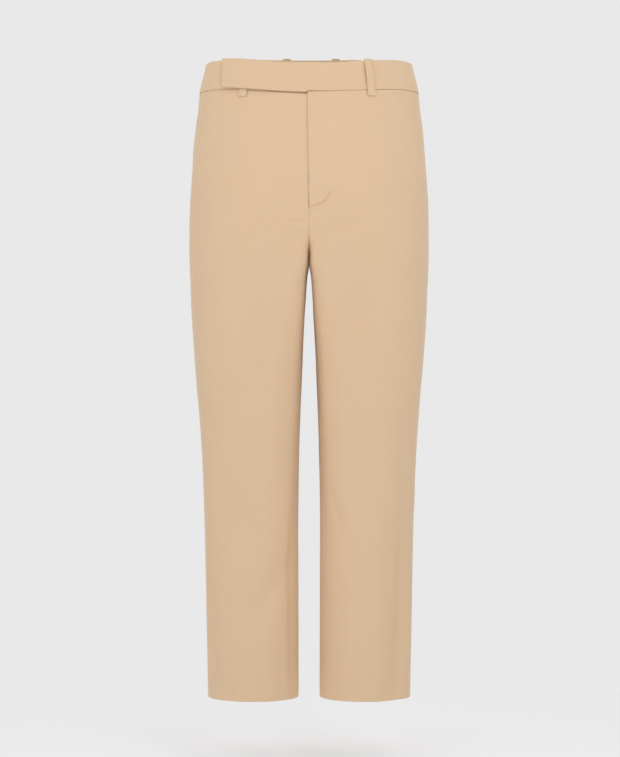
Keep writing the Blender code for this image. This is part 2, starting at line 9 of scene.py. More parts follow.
import bpy
import numpy as np
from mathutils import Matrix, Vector


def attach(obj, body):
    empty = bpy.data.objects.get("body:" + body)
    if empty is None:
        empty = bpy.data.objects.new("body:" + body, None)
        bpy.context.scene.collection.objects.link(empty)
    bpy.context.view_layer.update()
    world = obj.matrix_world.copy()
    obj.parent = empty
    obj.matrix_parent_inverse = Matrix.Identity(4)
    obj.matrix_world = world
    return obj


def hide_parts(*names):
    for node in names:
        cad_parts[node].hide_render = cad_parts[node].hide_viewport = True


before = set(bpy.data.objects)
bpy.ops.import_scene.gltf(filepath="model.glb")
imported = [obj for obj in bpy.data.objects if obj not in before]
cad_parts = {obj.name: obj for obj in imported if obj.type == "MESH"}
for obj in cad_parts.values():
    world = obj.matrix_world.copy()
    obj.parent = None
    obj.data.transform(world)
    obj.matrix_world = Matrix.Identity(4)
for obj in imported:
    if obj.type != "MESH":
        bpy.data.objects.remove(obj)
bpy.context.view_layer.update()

# ---- the garment's sizes

MM = 0.001
SEAM_GAP = 0.3 * MM
CLOTH = 1.2 * MM
BAND_WALL = 2.2 * MM
BAND_HEIGHT = 43 * MM
BAND_PROUD = 0.6 * MM
BAND_FOOT = SEAM_GAP + 0.4 * MM

HEM_Z = -891 * MM
CROTCH_Z = -264 * MM
CROTCH_Y = 12 * MM
FORK_Z = {"front": -207 * MM, "back": -180 * MM}
FORK_POWERS = {"front": 3.0, "back": 2.2}
INSEAM_OPENS = 20 * MM
INSEAM_CENTRED_Z = -564 * MM

SEAM_FRONT_Z = -26.9 * MM
SEAM_SIDE_Z = -20.5 * MM
SEAM_BACK_Z = -0.5 * MM
SEAM_LEVEL_SHARES = 0.1, 0.8
SEAM_BACK_LEVEL_SHARE = 0.33
SEAM_FADE_Z = -110 * MM

# One row for each height, in millimetres. side is half the width, and side_y how far back it
# lies; front and back are the section's furthest points, and the crests their distance from the
# centre line; inner is the inseam's distance from it. power squares the section's corners, and
# front_power the front's inner one.
COLUMNS = ("z", "side", "side_y", "front", "back", "front_crest", "back_crest", "inner")
COLUMNS += ("power", "front_power")
LEVELS = np.array(
    [
        (60, 140.5, 0, -80, 78.5, 0, 0, 0, 2.4, 6),
        (21.5, 148.7, 0, -84, 84.5, 0, 0, 0, 2.4, 6),
        (-21.5, 158.6, 0, -89, 90.5, 0, 0, 0, 2.4, 6),
        (-45, 160.9, 1, -92.1, 95.8, 5, 5, 0, 2.38, 6),
        (-70, 164.5, 3, -95, 102, 10, 10, 0, 2.35, 6),
        (-128, 169.4, 6, -99, 117, 28, 30, 0, 2.3, 6.5),
        (-186, 172.8, 8, -100, 124, 54, 56, 0, 2.3, 9),
        (-244, 173.4, 8, -98.5, 119, 76, 78, 0, 2.35, 12),
        (-302, 171.6, 6, -95, 107, 85, 86, 4, 2.35, 9),
        (-360, 169, 4, -90, 95, 87, 87, 7.4, 2.35, 6),
        (-447, 162, 2, -81, 82, 86, 86, 11, 2.3, 4),
        (-534, 155.6, 1, -73, 73.5, 85, 85, 14, 2.2, 3.2),
        (-621, 152, 0, -66.5, 68, 84, 84, 15.4, 2.08, 2.7),
        (-737, 149.4, 0, -63, 64, 82, 82, 15.2, 2, 2.3),
        (-891, 146.5, 0, -60, 61, 81, 81, 14.9, 2, 2.1),
    ]
)[::-1]
LEVELS[:, :8] *= MM

# Each panel's folds and creases, in millimetres: soft troughs along a line, or ridges where the
# depth is below 0. A row gives the top's distance from the centre line and its height, the same
# of the foot, how far the line bows sideways, the length over which each end fades out, half the
# width, and the depth. The first three of each panel are in the solids too. The backs' last ones
# are the darts.
FOLDS = {
    "front_right": (
        (118, -440, 113, -660, 0, 35, 32, 3.6),
        (24, -690, 82, -775, 0, 35, 26, 3),
        (100, -620, 70, -660, 0, 35, 28, 1.8),
        (16, -520, 24.5, -680, 2, 50, 9, 1.8),
        (24.5, -660, 23.5, -885, -1, 40, 8, 2.4),
        (26, -702, 78, -764, 4, 24, 17, 0.9),
        (52, -778, 72, -862, 3, 30, 16, -0.9),
        (90, -612, 86, -655, 0, 22, 16, 1.8),
        (34, -160, 44, -190, 0, 30, 18, 1.8),
        (4, -209, 26, -213, 1, 8, 6, 1.4),
        (45, -400, 52, -560, -4, 60, 20, -1.4),
        (116, -868, 117, -893, 0, 14, 12, 1.8),
        (41, -860, 40, -893, 0, 14, 11, 1.6),
        (141, -506, 129, -530, 0, 8, 5, 0.9),
        (138, -780, 132, -870, 0, 40, 12, 3),
        (100, -300, 104, -380, 0, 50, 22, 1.2),
    ),
    "front_left": (
        (78, -310, 70, -420, 0, 35, 32, 3.4),
        (74, -480, 86, -590, 0, 35, 30, 2.4),
        (124, -640, 122, -895, 0, 35, 24, 4.6),
        (12, -400, 18, -640, 0, 60, 9, 1.2),
        (28, -596, 44, -646, -2, 12, 7, 1.4),
        (36, -586, 56, -624, -2, 14, 7, -0.9),
        (36, -716, 54, -742, 1, 12, 6, 0.8),
        (34, -212, 37, -238, 0, 16, 15, 1.6),
        (70, -248, 90, -264, 0, 18, 18, 1.4),
        (98, -395, 104, -450, 0, 40, 20, -1.5),
        (136, -520, 130, -880, -2, 60, 15, 3.4),
        (65, -862, 64, -893, 0, 14, 12, 1.5),
        (112, -868, 111, -893, 0, 14, 12, 1.4),
        (141, -650, 133, -842, 0, 45, 14, 5.8),
        (128, -404, 130, -446, 0, 12, 5, 0.8),
    ),
    "back_right": (
        (30, -300, 128, -352, 0, 35, 24, 3.4),
        (40, -560, 120, -520, 0, 35, 26, 2.8),
        (96, -660, 78, -840, 0, 35, 28, 2.4),
        (20, -292, 84, -268, 4, 20, 9, 1.8),
        (30, -328, 110, -304, 6, 30, 12, 2.4),
        (60, -588, 112, -606, 4, 20, 9, 1.6),
        (28, -700, 34, -850, 2, 50, 10, 1.8),
        (124, -600, 120, -760, 0, 60, 13, 1.8),
        (72, 0, 69, -98, 0, 12, 4.5, 1),
    ),
    "back_left": (
        (34, -312, 120, -338, 0, 35, 24, 3),
        (52, -512, 124, -560, 0, 35, 28, 3),
        (70, -640, 94, -800, 0, 35, 26, 2.2),
        (22, -288, 78, -262, 3, 18, 9, 1.7),
        (40, -334, 126, -318, 6, 30, 12, 2.4),
        (36, -572, 90, -548, -4, 22, 9, 1.6),
        (110, -700, 106, -870, 3, 50, 11, 2),
        (30, -600, 27, -780, 0, 60, 10, 1.6),
        (72, 0, 69, -98, 0, 12, 4.5, 1),
    ),
}
# Between these distances from a seam a fold comes in, and so does a crease, which is narrower.
FOLD_FREE = 6 * MM, 24 * MM
CREASE_FREE = 2 * MM, 8 * MM
CREASE_WIDEST = 15.5 * MM  # half the width of the widest crease

# Slow waves in the cloth: how high, and their lengths across and up it, with a shift. They bend
# sideways by this share of their length, this many times as often. A piece's name picks one of
# so many shifts more.
WAVE_BEND = 0.3, 5
WAVE_SHIFTS = 17
WAVES = (
    (0.30 * MM, 130 * MM, 310 * MM, 0.4),
    (0.22 * MM, 74 * MM, 190 * MM, 2.1),
    (0.10 * MM, 41 * MM, 87 * MM, 4.0),
    (0.05 * MM, 19 * MM, 33 * MM, 1.3),
)

FLY_LAP = 2.2 * MM
FLY_UNDERLAP = 5 * MM
FLY_DIP_START_Z = -184 * MM
FLY_UNDERLAP_FADE = 30 * MM
FLY_END_Z = -191 * MM
FLY_DIP_END_Z = -204 * MM
FLY_DIP_FLAT = 8 * MM
FLY_DIP_REACH = 45 * MM
FACING_WALL = 1.0 * MM
SOLID_FLY_DIP = CLOTH + SEAM_GAP + FACING_WALL + SEAM_GAP
FACING_WIDTH = 30 * MM
FACING_EDGE = 1.3 * MM
FACING_END_Z = FLY_END_Z + 2 * MM
FACING_CURVE = 32 * MM
FACING_NARROW = 0.26
FACING_CURVE_SHOWS = 0.25, 0.6  # between these shares down its curve its seam comes in
CHAIN_CENTRE = 10 * MM
CHAIN_HEIGHT = 0.9 * MM
SLIDER_THICK = 1.8 * MM
TAPE_DEPTH = SOLID_FLY_DIP + SLIDER_THICK + SEAM_GAP + CHAIN_HEIGHT
TAPE_WALL = 1.0 * MM
TAPE_EDGES = (-6 * MM, 22 * MM)
ZIP_TOP_DROP = 3 * MM
ZIP_END_Z = -184 * MM
SHIELD_DEPTH = TAPE_DEPTH + TAPE_WALL + 2 * SEAM_GAP
SHIELD_WALL = 1.6 * MM
SHIELD_TOP_DROP = 1.3 * MM
SHIELD_EDGES = (-8 * MM, 36 * MM)

TAB_END_SHARE = 0.617
TAB_OVERHANG = 1.3 * MM
TAB_STEP = 1 * MM
TAB_END_RISE = 3.0 * MM
TAB_TOP_RISE = 2.3 * MM
TAB_TOP_SHARES = 0.12, 0.58
TOP_DIP = 1.3 * MM
TOP_DIP_SHARES = 0.2, 0.5
TAB_LIFT_START = 1.6 * MM
TAB_LIFT_END = 4.6 * MM
TAB_LIFT_FROM, TAB_LIFT_BY = 0.05, 0.36
UNDERLAP_SHARE = 0.19
UNDERLAP_FADE = 0.22
UNDERLAP_DIP = 2.9 * MM

LOOP_WIDTH = 11.5 * MM
LOOP_WALL = 1.4 * MM
LOOP_FLAT_WALL = 1.1 * MM
LOOP_FOOT_OUT = 0.6 * MM
LOOP_BOW = 1.4 * MM
LOOP_BOW_FADE = 8 * MM
# Each loop's face and half, the shares of the way from centre to side where its top and its
# foot lie, how far it reaches above the band and below the waist seam, its wall, and how far
# its middle bows out.
LOOPS = {
    "loop_front_right": ("front", -1, 0.458, 0.458, 0.6 * MM, 9.6 * MM, LOOP_FLAT_WALL, 0.0),
    "loop_front_left": ("front", 1, 0.435, 0.431, 1.8 * MM, 8.5 * MM, LOOP_WALL, LOOP_BOW),
    "loop_back_right": ("back", -1, 0.177, 0.177, 2.2 * MM, 8.5 * MM, LOOP_WALL, LOOP_BOW),
    "loop_back_left": ("back", 1, 0.212, 0.212, 2.2 * MM, 8.5 * MM, LOOP_WALL, LOOP_BOW),
}

WAIST_CREST = 0.42  # the share of the way round where a panel's two halves meet at the waist
WAIST_CREST_Z = -60 * MM
FORK_ROW_DROP = 41 * MM
FORK_ROW_FADE = 180 * MM
INSEAM_CROWDING = 1.4
UPPER_ROWS, FORK_ROWS, INSEAM_ROWS, LOWER_ROWS = 8, 7, 6, 7

# ---- the fine meshes' own sizes

FINE_CLOTH = 0.8 * MM  # the wool's own thickness
FINE_FACING = 0.7 * MM
FINE_GAP = 0.1 * MM
FLY_DIP = FINE_CLOTH + FINE_GAP + FINE_FACING + FINE_GAP
FACING_DEPTH = FINE_CLOTH + FINE_GAP
SEAM_MEETS = 0.2 * MM  # each side of a seam, the cloth reaches this much further
WAIST_MEETS = 0.55 * MM  # and this much further up, to the band
ROW_DIVISIONS = 9  # fine rows in each of the solids' rows
EDGE_STEPS = np.array([0, 0.12, 0.3, 0.55, 0.9, 1.4, 2.2, 3.4, 5.2, 7.8, 11.4, 12.0]) * MM
INNER_FINE = {"front": 50, "back": 28}  # columns between the inner edge's own and the crest
OUTER_FINE = 40  # and between the crest and the side's own
FLY_FOOT_ROWS = 5.6, 8.0, 1 / 30  # round the fly's foot, rows from here to here, this far apart
TOP_ROWS = 7 * MM, 0.35 * MM  # and below the waist seam, down to this depth, this far apart
TURNING = 11.7 * MM  # seam allowances pressed open inside
HEM_TURNING = 38 * MM
SEAM_ROLL = 0.5 * MM  # the cloth's edge rounds in to a seam
FLY_ROLL = 0.6 * MM
HEM_ROLL = 0.75 * MM
SEAM_DITCH = 0.25 * MM, 5 * MM  # and sinks softly this deep, from this far away
FOLD_ROLL = 1.0 * MM  # the radius of a folded edge
IMPRINT = 0.4 * MM  # the fly facing shows through by this much
IMPRINT_FADE = 1.2 * MM  # to each side of the facing's edge
CENTRE_MEETS = 0.1 * MM  # each half reaches this far past the centre line at the centre seams
FLY_EDGE_FREE = 0.2 * MM, 2 * MM  # from the folded edge, marks come in between these distances
FLY_TOP_FREE = 1 * MM, 6 * MM  # and from the waist seam
FLY_RIDGE = 0.35 * MM, 6.5 * MM, 2.4 * MM  # a pressed ridge along the fly: height, place, width
# The seam round the facing's lower end: how deep the cloth sinks in a groove, a lip and a
# hollow, how far outside the facing's edge, and how wide.
FLY_SEAM_MARKS = (
    (1.7 * MM, 0, 1.7 * MM),
    (-0.8 * MM, 3.6 * MM, 1.9 * MM),
    (0.9 * MM, -7 * MM, 6 * MM),
)
# Under the tab the right front curves in below its edge: how deep near the centre and further
# out, between which distances from the centre it deepens, between which below the edge it ends,
# and between which from the centre it fades out.
SLIT_DEPTHS = 4.0 * MM, 6.5 * MM
SLIT_DEEPENS = 9 * MM, 12 * MM
SLIT_HEIGHTS = 0.9 * MM, 1.6 * MM
SLIT_FADE = 26 * MM, 60 * MM
SLIT_LIP = 0.9 * MM, 2.9 * MM, 1.1 * MM  # the cloth swells below it: height, place, width

# A band stands out a little near its foot and near its head: how much, and at which distances
# from that edge this starts, is at its most, and ends.
FOOT_FULLNESS = 0.28 * MM, 0.5 * MM, 4 * MM, 16 * MM
HEAD_FULLNESS = 0.16 * MM, 0.5 * MM, 3 * MM, 9 * MM
BAND_WAVES = 0.5  # a band's slow waves, as a share of a panel's
BAND_FREE = 1 * MM, 8 * MM  # they come in between these distances from its edges
BAND_ROW, BAND_COLUMN = 2.5 * MM, 3 * MM
BAND_EDGE, STRIP_EDGE, SHIELD_EDGE = 9, 8, 6  # how many of EDGE_STEPS each one's edges take
TAB_NOTCH_COLUMNS = 5
WALL_ROLL = 0.42  # how far a loop's or strip's edges round, as a share of its wall
STRIP_WIDTH = 28 * MM  # a strip inside the fly has the columns of one this wide
STRIP_INSIDE, STRIP_COLUMN = 5 * MM, 1.5 * MM  # and from here in, they are this far apart

SECTION_POINTS = 90  # in each quarter of a section
TABLE_STEP = 0.25 * MM  # between the heights where the sections' lengths are worked out
CROTCH_TABLE = 8, 600  # just above the crotch: how many steps, and how many heights in them
CHUNK = 4000  # points worked out together
FLAT_SHARE = 0.9995  # from this share on, a section runs level to the centre line
TANGENT_STEP = 1.5 * MM  # a section's direction is taken between points this far to each side
SHARP_ANGLE = math.radians(60)
OUTWARDS = {"front": (0, -1, 0), "back": (0, 1, 0)}

# ---- the outer surface


def smooth(value, start, end):
    """0 at start, 1 at end, with no corner at either. The end may lie above or below."""
    share = np.clip((value - start) / (end - start), 0, 1)
    return share * share * (3 - 2 * share)


def swell(value, place, width):
    """1 at a place, and next to nothing two widths away from it."""
    return np.exp(-(((value - place) / width) ** 2))


def even_steps(start, end, step):
    return np.linspace(start, end, max(2, round(abs(end - start) / step) + 1))


def closer_at_ends(steps, rest, width, step):
    """Places across a width: the given ones in from each end, and even steps from rest on."""
    half = np.concatenate([steps, even_steps(rest, width / 2, step)])
    return np.concatenate([half, width - half[-2::-1]])


def sizes_at(z):
    """Every column of LEVELS at each height, on smooth curves through the rows."""
    heights = LEVELS[:, 0]
    slopes = np.array([np.gradient(column, heights) for column in LEVELS.T]).T
    i = np.clip(np.searchsorted(heights, z, side="right") - 1, 0, len(heights) - 2)
    step = (heights[i + 1] - heights[i])[:, None]
    t = (z - heights[i])[:, None] / step
    found = (
        (2 * t**3 - 3 * t**2 + 1) * LEVELS[i]
        + (t**3 - 2 * t**2 + t) * step * slopes[i]
        + (3 * t**2 - 2 * t**3) * LEVELS[i + 1]
        + (t**3 - t**2) * step * slopes[i + 1]
    )
    return dict(zip(COLUMNS, found.T[:, :, None]))


def quarter(crest, end, power, first):
    """Points of a squared quarter oval from its end, where it runs in y, to its crest, where it
    runs in x. first is how much of the way in y is left out at the end."""
    start = np.arcsin(first ** (power / 2))
    angle = start + (math.pi / 2 - start) * np.linspace(0, 1, SECTION_POINTS)
    across = (1 - first**power) ** (1 / power)
    x = crest[0] + (end[0] - crest[0]) / across * np.cos(angle).clip(0) ** (2 / power)
    y = end[1] + (crest[1] - end[1]) * np.sin(angle) ** (2 / power)
    return np.stack([x, y], axis=-1)


def half_sections(face, z):
    """The outer lines of half the body, or of one leg, at each height, from the centre seam or
    inseam to the side: their points, each one's distance along, and the crests'."""
    size = sizes_at(z)
    z = z[:, None]
    crest = size[face + "_crest"], size[face]
    inner_x = SEAM_GAP / 2 + size["inner"] * smooth(z, CROTCH_Z, CROTCH_Z - INSEAM_OPENS)
    inner_y = CROTCH_Y * (1 - smooth(z, CROTCH_Z, INSEAM_CENTRED_Z))
    inner_power = size["front_power" if face == "front" else "power"]
    down = np.clip((FORK_Z[face] - z) / (FORK_Z[face] - CROTCH_Z), 0, 1)
    share = (1 - down ** FORK_POWERS[face]) ** (1 / FORK_POWERS[face])
    flat = share >= FLAT_SHARE
    round_part = quarter(crest, (inner_x, inner_y), inner_power, np.where(flat, 0, share))
    level_end = np.maximum(crest[0], 2 * inner_x)
    level_x = inner_x + (level_end - inner_x) * np.linspace(0, 1, SECTION_POINTS)
    level_part = np.stack([level_x, crest[1] + 0 * level_x], axis=-1)
    inner = np.where(flat[:, :, None], level_part, round_part)
    outer = quarter(crest, (size["side"], size["side_y"]), size["power"], 0 * z)[:, ::-1]
    lines = np.concatenate([inner, outer[:, 1:]], axis=1)
    steps = np.linalg.norm(np.diff(lines, axis=1), axis=-1)
    along = np.concatenate([0 * z, np.cumsum(steps, axis=1)], axis=1)
    return lines, along, along[:, SECTION_POINTS - 1]


TABLE_Z = np.arange(HEM_Z - 5 * MM, 60 * MM, TABLE_STEP)
# Just above the crotch point the sections' lengths change fast, so there the table is finer.
finer = np.linspace(0, 1, CROTCH_TABLE[1]) ** 3
TABLE_Z = np.union1d(TABLE_Z, CROTCH_Z + CROTCH_TABLE[0] * TABLE_STEP * finer)
LENGTHS, CRESTS = {}, {}
for face_name in ("front", "back"):
    _, table_along, table_crests = half_sections(face_name, TABLE_Z)
    LENGTHS[face_name], CRESTS[face_name] = table_along[:, -1], table_crests


def section_length(face, z):
    return np.interp(z, TABLE_Z, LENGTHS[face])


def crest_distance(face, z):
    """How far along the section its crest lies, or a set share of the way at the waist."""
    below = smooth(z, WAIST_CREST_Z, FORK_Z["back"])
    at_waist = WAIST_CREST * section_length(face, z)
    return at_waist * (1 - below) + np.interp(z, TABLE_Z, CRESTS[face]) * below


def surface(face, half, along, z, out=0.0):
    """Points of the outer surface this far along their sections from the centre seam or inseam.
    A distance below 0 runs on past the centre. out moves them out from the cloth."""
    given = np.broadcast_arrays(*(np.asarray(each, float) for each in (along, z, out)))
    along, z, out = (each.ravel() for each in given)
    side = np.where(along < 0, -half, half)
    along = np.where(along < 0, -along - SEAM_GAP, along)
    found = []
    for some in np.array_split(np.arange(len(along)), len(along) // CHUNK + 1):
        lines, distances, _ = half_sections(face, z[some])
        centre = np.clip(along[some], 0, distances[:, -1])
        steps = (0, -TANGENT_STEP, TANGENT_STEP)
        places = (np.clip(centre + step, 0, distances[:, -1]) for step in steps)
        here, before, after = (at_distance(lines, distances, place) for place in places)
        run = after - before
        turn = out[some] / np.linalg.norm(run, axis=-1) * (1 if face == "front" else -1)
        x = side[some] * (here[:, 0] + run[:, 1] * turn)
        found.append(np.stack([x, here[:, 1] - run[:, 0] * turn, z[some]], axis=-1))
    return np.concatenate(found).reshape(given[0].shape + (3,))


def at_distance(lines, distances, along):
    """The point this far along each line."""
    last = distances.shape[1] - 2
    i = np.clip((distances <= along[:, None]).sum(axis=1) - 1, 0, last)
    rows = np.arange(len(along))
    start, end = distances[rows, i], distances[rows, i + 1]
    t = ((along - start) / (end - start).clip(1e-12))[:, None]
    return lines[rows, i] * (1 - t) + lines[rows, i + 1] * t


def waist_seam_z(face, share):
    """Height of the waist seam at this share of the way from the centre to the side."""
    if face == "front":
        return SEAM_FRONT_Z + (SEAM_SIDE_Z - SEAM_FRONT_Z) * smooth(abs(share), *SEAM_LEVEL_SHARES)
    return SEAM_BACK_Z + (SEAM_SIDE_Z - SEAM_BACK_Z) * smooth(abs(share), SEAM_BACK_LEVEL_SHARE, 1)


# ---- shells


def grid_normals(points, face):
    """Each grid point's normal on the sheet's outer side, and whether its rows and columns turn
    the other way."""
    normals = np.cross(np.gradient(points, axis=0), np.gradient(points, axis=1))
    normals /= np.linalg.norm(normals, axis=-1, keepdims=True).clip(1e-12)
    inwards = (normals @ np.array(OUTWARDS[face], float)).sum() < 0
    return -normals if inwards else normals, inwards


def cloth_piece(name, face, outer, inner, place, cut, finish, slot="wool"):
    """A closed sheet between two grids of points, in place of its solid. place is where each
    point lies on the flat cloth, which its weave follows, and the flat size of cut's grid is worked
    out."""
    rows, columns = outer.shape[:2]
    index = np.arange(rows * columns).reshape(rows, columns)
    front = np.stack([index[:-1, :-1], index[:-1, 1:], index[1:, 1:], index[1:, :-1]], -1)
    front = front.reshape(-1, 4)
    border = np.concatenate([index[0], index[1:, -1], index[-1, -2::-1], index[-2:0:-1, 0]])
    ahead = np.roll(border, -1)
    rim = np.stack([ahead, border, border + index.size, ahead + index.size], -1)
    faces = np.concatenate([front, front[:, ::-1] + index.size, rim])
    if grid_normals(outer, face)[1]:
        faces = faces[:, ::-1]
    points = np.concatenate([outer.reshape(-1, 3), inner.reshape(-1, 3)])
    on_cloth = np.zeros((len(points), 3), np.float32)
    on_cloth[:, :2] = np.tile(np.stack(np.broadcast_arrays(*place), -1).reshape(-1, 2), (2, 1))
    on_cloth[index.size :, 2] = 1
    mesh = bpy.data.meshes.new(name + "_cloth")
    mesh.from_pydata(points.tolist(), [], faces.tolist())
    kept = mesh.attributes.new("cloth_place", "FLOAT_VECTOR", "POINT")
    kept.data.foreach_set("vector", on_cloth.ravel())
    piece = add_piece(name + "_cloth", mesh, finish)
    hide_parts(name)
    width, length, area = cut_size(cut)
    area = min(area, width * length)


def add_piece(name, mesh, finish):
    mesh.shade_smooth()
    mesh.set_sharp_from_angle(angle=SHARP_ANGLE)
    mesh.materials.append(finish)
    made = bpy.data.objects.new(name, mesh)
    bpy.context.scene.collection.objects.link(made)
    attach(made, "root")
    return made


def rolled(distance, radius):
    """How far a rounded edge lies in, at a distance from it."""
    share = np.clip(1 - distance / radius, 0, 1)
    return radius * (1 - np.sqrt(1 - share**2))


def cut_size(points):
    """The flat width, length and area of a grid of points on cloth."""
    across = np.linalg.norm(np.diff(points, axis=1), axis=-1)
    down = np.linalg.norm(np.diff(points, axis=0), axis=-1)
    area = (across[:-1] + across[1:]) * (down[:, :-1] + down[:, 1:]) / 4
    return float(across.sum(1).max()), float(down.sum(0).max()), float(area.sum())


def reaching(points, up_down, sides):
    """The grid with its outer rows and columns moved on past its edges by the given amounts."""
    points = points.copy()
    for lines, amounts in ((points, up_down), (points.swapaxes(0, 1), sides)):
        for last, before, amount in ((0, 1, amounts[0]), (-1, -2, amounts[1])):
            run = lines[last] - lines[before]
            lines[last] += run / np.linalg.norm(run, axis=-1, keepdims=True) * amount
    return points


# ---- the leg panels


def panel_heights(face):
    """Heights of a panel's rows, at its inner edge and at its side seam. They are level at the
    waist and the hem. Round the fork they follow the inner edge as it turns under, and fan out."""
    upper = np.linspace(SEAM_SIDE_Z, FORK_Z["front"], UPPER_ROWS + 1)
    fork_rows = FORK_ROWS if face == "front" else FORK_ROWS + 1
    turned = np.sin(np.linspace(0, math.pi / 2, fork_rows))
    turning = FORK_Z[face] - (FORK_Z[face] - CROTCH_Z) * turned
    fork_side = np.linspace(upper[-1], CROTCH_Z - FORK_ROW_DROP, FORK_ROWS)
    inseam = CROTCH_Z - FORK_ROW_FADE * np.linspace(0, 1, INSEAM_ROWS + 1)[1:] ** INSEAM_CROWDING
    drop = FORK_ROW_DROP * (1 - smooth(CROTCH_Z - inseam, 0, FORK_ROW_FADE))
    lower = np.linspace(inseam[-1], HEM_Z, LOWER_ROWS + 1)[1:]
    edge = np.concatenate([upper[: UPPER_ROWS + FORK_ROWS - fork_rows], turning, inseam, lower])
    side = np.concatenate([upper[:-1], fork_side, inseam - drop, lower])
    return edge, side


def fine_rows(heights, face):
    """ROW_DIVISIONS rows for each one, and more at the waist, the hem and the fly's foot."""
    last = len(heights) - 1
    top_row, hem_row = abs(heights[1] - heights[0]), abs(heights[-1] - heights[-2])
    places = [np.linspace(0, last, last * ROW_DIVISIONS + 1)]
    places += [EDGE_STEPS[1:-1] / top_row, last - EDGE_STEPS[1:-1] / hem_row]
    if face == "front":
        depth, step = TOP_ROWS
        places += [np.arange(step, depth, step) / top_row, np.arange(*FLY_FOOT_ROWS)]
    return np.unique(np.concatenate(places).round(5))


def fly_edges(z):
    """Where the left front's and the right front's edges lie past the centre line."""
    down = smooth(z, SEAM_FRONT_Z, FLY_END_Z)
    left = -FLY_LAP * (1 - down) + SEAM_GAP / 2 * down
    under = smooth(z, FLY_DIP_START_Z + FLY_UNDERLAP_FADE, FLY_DIP_START_Z)
    right = FLY_UNDERLAP * (1 - under) + (left - SEAM_GAP) * under
    return left, right


def panel_edge(name, z):
    """How far along the section, from the centre seam or inseam, a panel's first point lies."""
    left, right = fly_edges(z)
    edge = np.where(z < CROTCH_Z + SEAM_GAP, SEAM_GAP / 2, 0.0)
    if name == "front_left":
        edge = np.where(z > FLY_END_Z, left, edge)
    if name == "front_right":
        edge = np.where(z > FLY_END_Z, -right, edge)
    return edge


def fold_depth(panel, x, z, to_seam):
    """How deep the panel's folds and creases are at each point."""
    total = 0.0
    for fold in FOLDS[panel]:
        top_x, top_z, foot_x, foot_z, bow, fade, half_width, depth = np.array(fold) * MM
        run_x, run_z = foot_x - top_x, foot_z - top_z
        length = math.hypot(run_x, run_z)
        down = ((x - top_x) * run_x + (z - top_z) * run_z) / length
        aside = ((x - top_x) * run_z - (z - top_z) * run_x) / length
        share = np.clip(down / length, 0, 1)
        aside = abs(aside - bow * 4 * share * (1 - share))
        ends = smooth(down, -fade, fade) * (1 - smooth(down, length - fade, length + fade))
        free = FOLD_FREE if half_width > CREASE_WIDEST else CREASE_FREE
        shape = 1 - smooth(aside, 0, half_width)
        total = total + depth * ends * shape * smooth(to_seam, *free)
    return total


def wave_height(name, along, z):
    """The cloth's own slow unevenness, different on each piece. along is from the crest."""
    shift = sum(map(ord, name)) % WAVE_SHIFTS
    bend, often = WAVE_BEND
    found = 0.0
    for height, across, up, phase in WAVES:
        turn = 2 * math.pi * (along / across + bend * np.sin(z / up * often + shift))
        lift = 2 * math.pi * z / up + 2 * phase + shift
        found = found + height * np.sin(turn + phase + shift) * np.sin(lift)
    return found


def facing_distance(along, z):
    """How far a point of the left front lies outside the fly facing's edge, and how much of the
    seam round the facing's lower end shows there."""
    across = (along - FACING_EDGE) / FACING_WIDTH
    down = np.maximum(0, FACING_END_Z + FACING_CURVE - z) / FACING_CURVE
    bend = 1 - FACING_NARROW**2
    outside = across**2 + bend * down**2 - 1
    slope = np.hypot(2 * across / FACING_WIDTH, 2 * bend * down / FACING_CURVE)
    return outside / slope.clip(1), smooth(down, *FACING_CURVE_SHOWS)


def fly_relief(along, z):
    """The mark that the facing leaves on the left front, the curved seam at its foot, and the
    ridge pressed along the folded edge."""
    distance, curve = facing_distance(along, z)
    near_edge = smooth(along, *FLY_EDGE_FREE)
    imprint = -IMPRINT * (1 - smooth(distance, -IMPRINT_FADE, IMPRINT_FADE)) * near_edge
    seam = sum(depth * swell(distance, place, width) for depth, place, width in FLY_SEAM_MARKS)
    height, place, width = FLY_RIDGE
    ridge = -height * swell(along, place, width) * smooth(z, FLY_END_Z, FLY_DIP_START_Z)
    return imprint + ridge + seam * curve * near_edge


def tab_slit(along, z):
    """How far the right front's top curves in below the tab's edge."""
    share = along / section_length("front", z)
    below = waist_seam_z("front", share) + np.minimum(0, tab_lower(-share)) - z
    near, far = SLIT_DEPTHS
    deepest = near + (far - near) * smooth(along, *SLIT_DEEPENS)
    height, place, width = SLIT_LIP
    lip = height * swell(below, place, width)
    return (deepest * (1 - smooth(below, *SLIT_HEIGHTS)) - lip) * (1 - smooth(along, *SLIT_FADE))


def edge_distances(points, axis):
    """How far each point of a grid lies from its first and last row or column, on the cloth."""
    steps = np.linalg.norm(np.diff(points, axis=axis), axis=-1)
    start = np.zeros_like(steps.take([0], axis))
    travel = np.concatenate([start, np.cumsum(steps, axis=axis)], axis=axis)
    return travel, travel.take([-1], axis) - travel


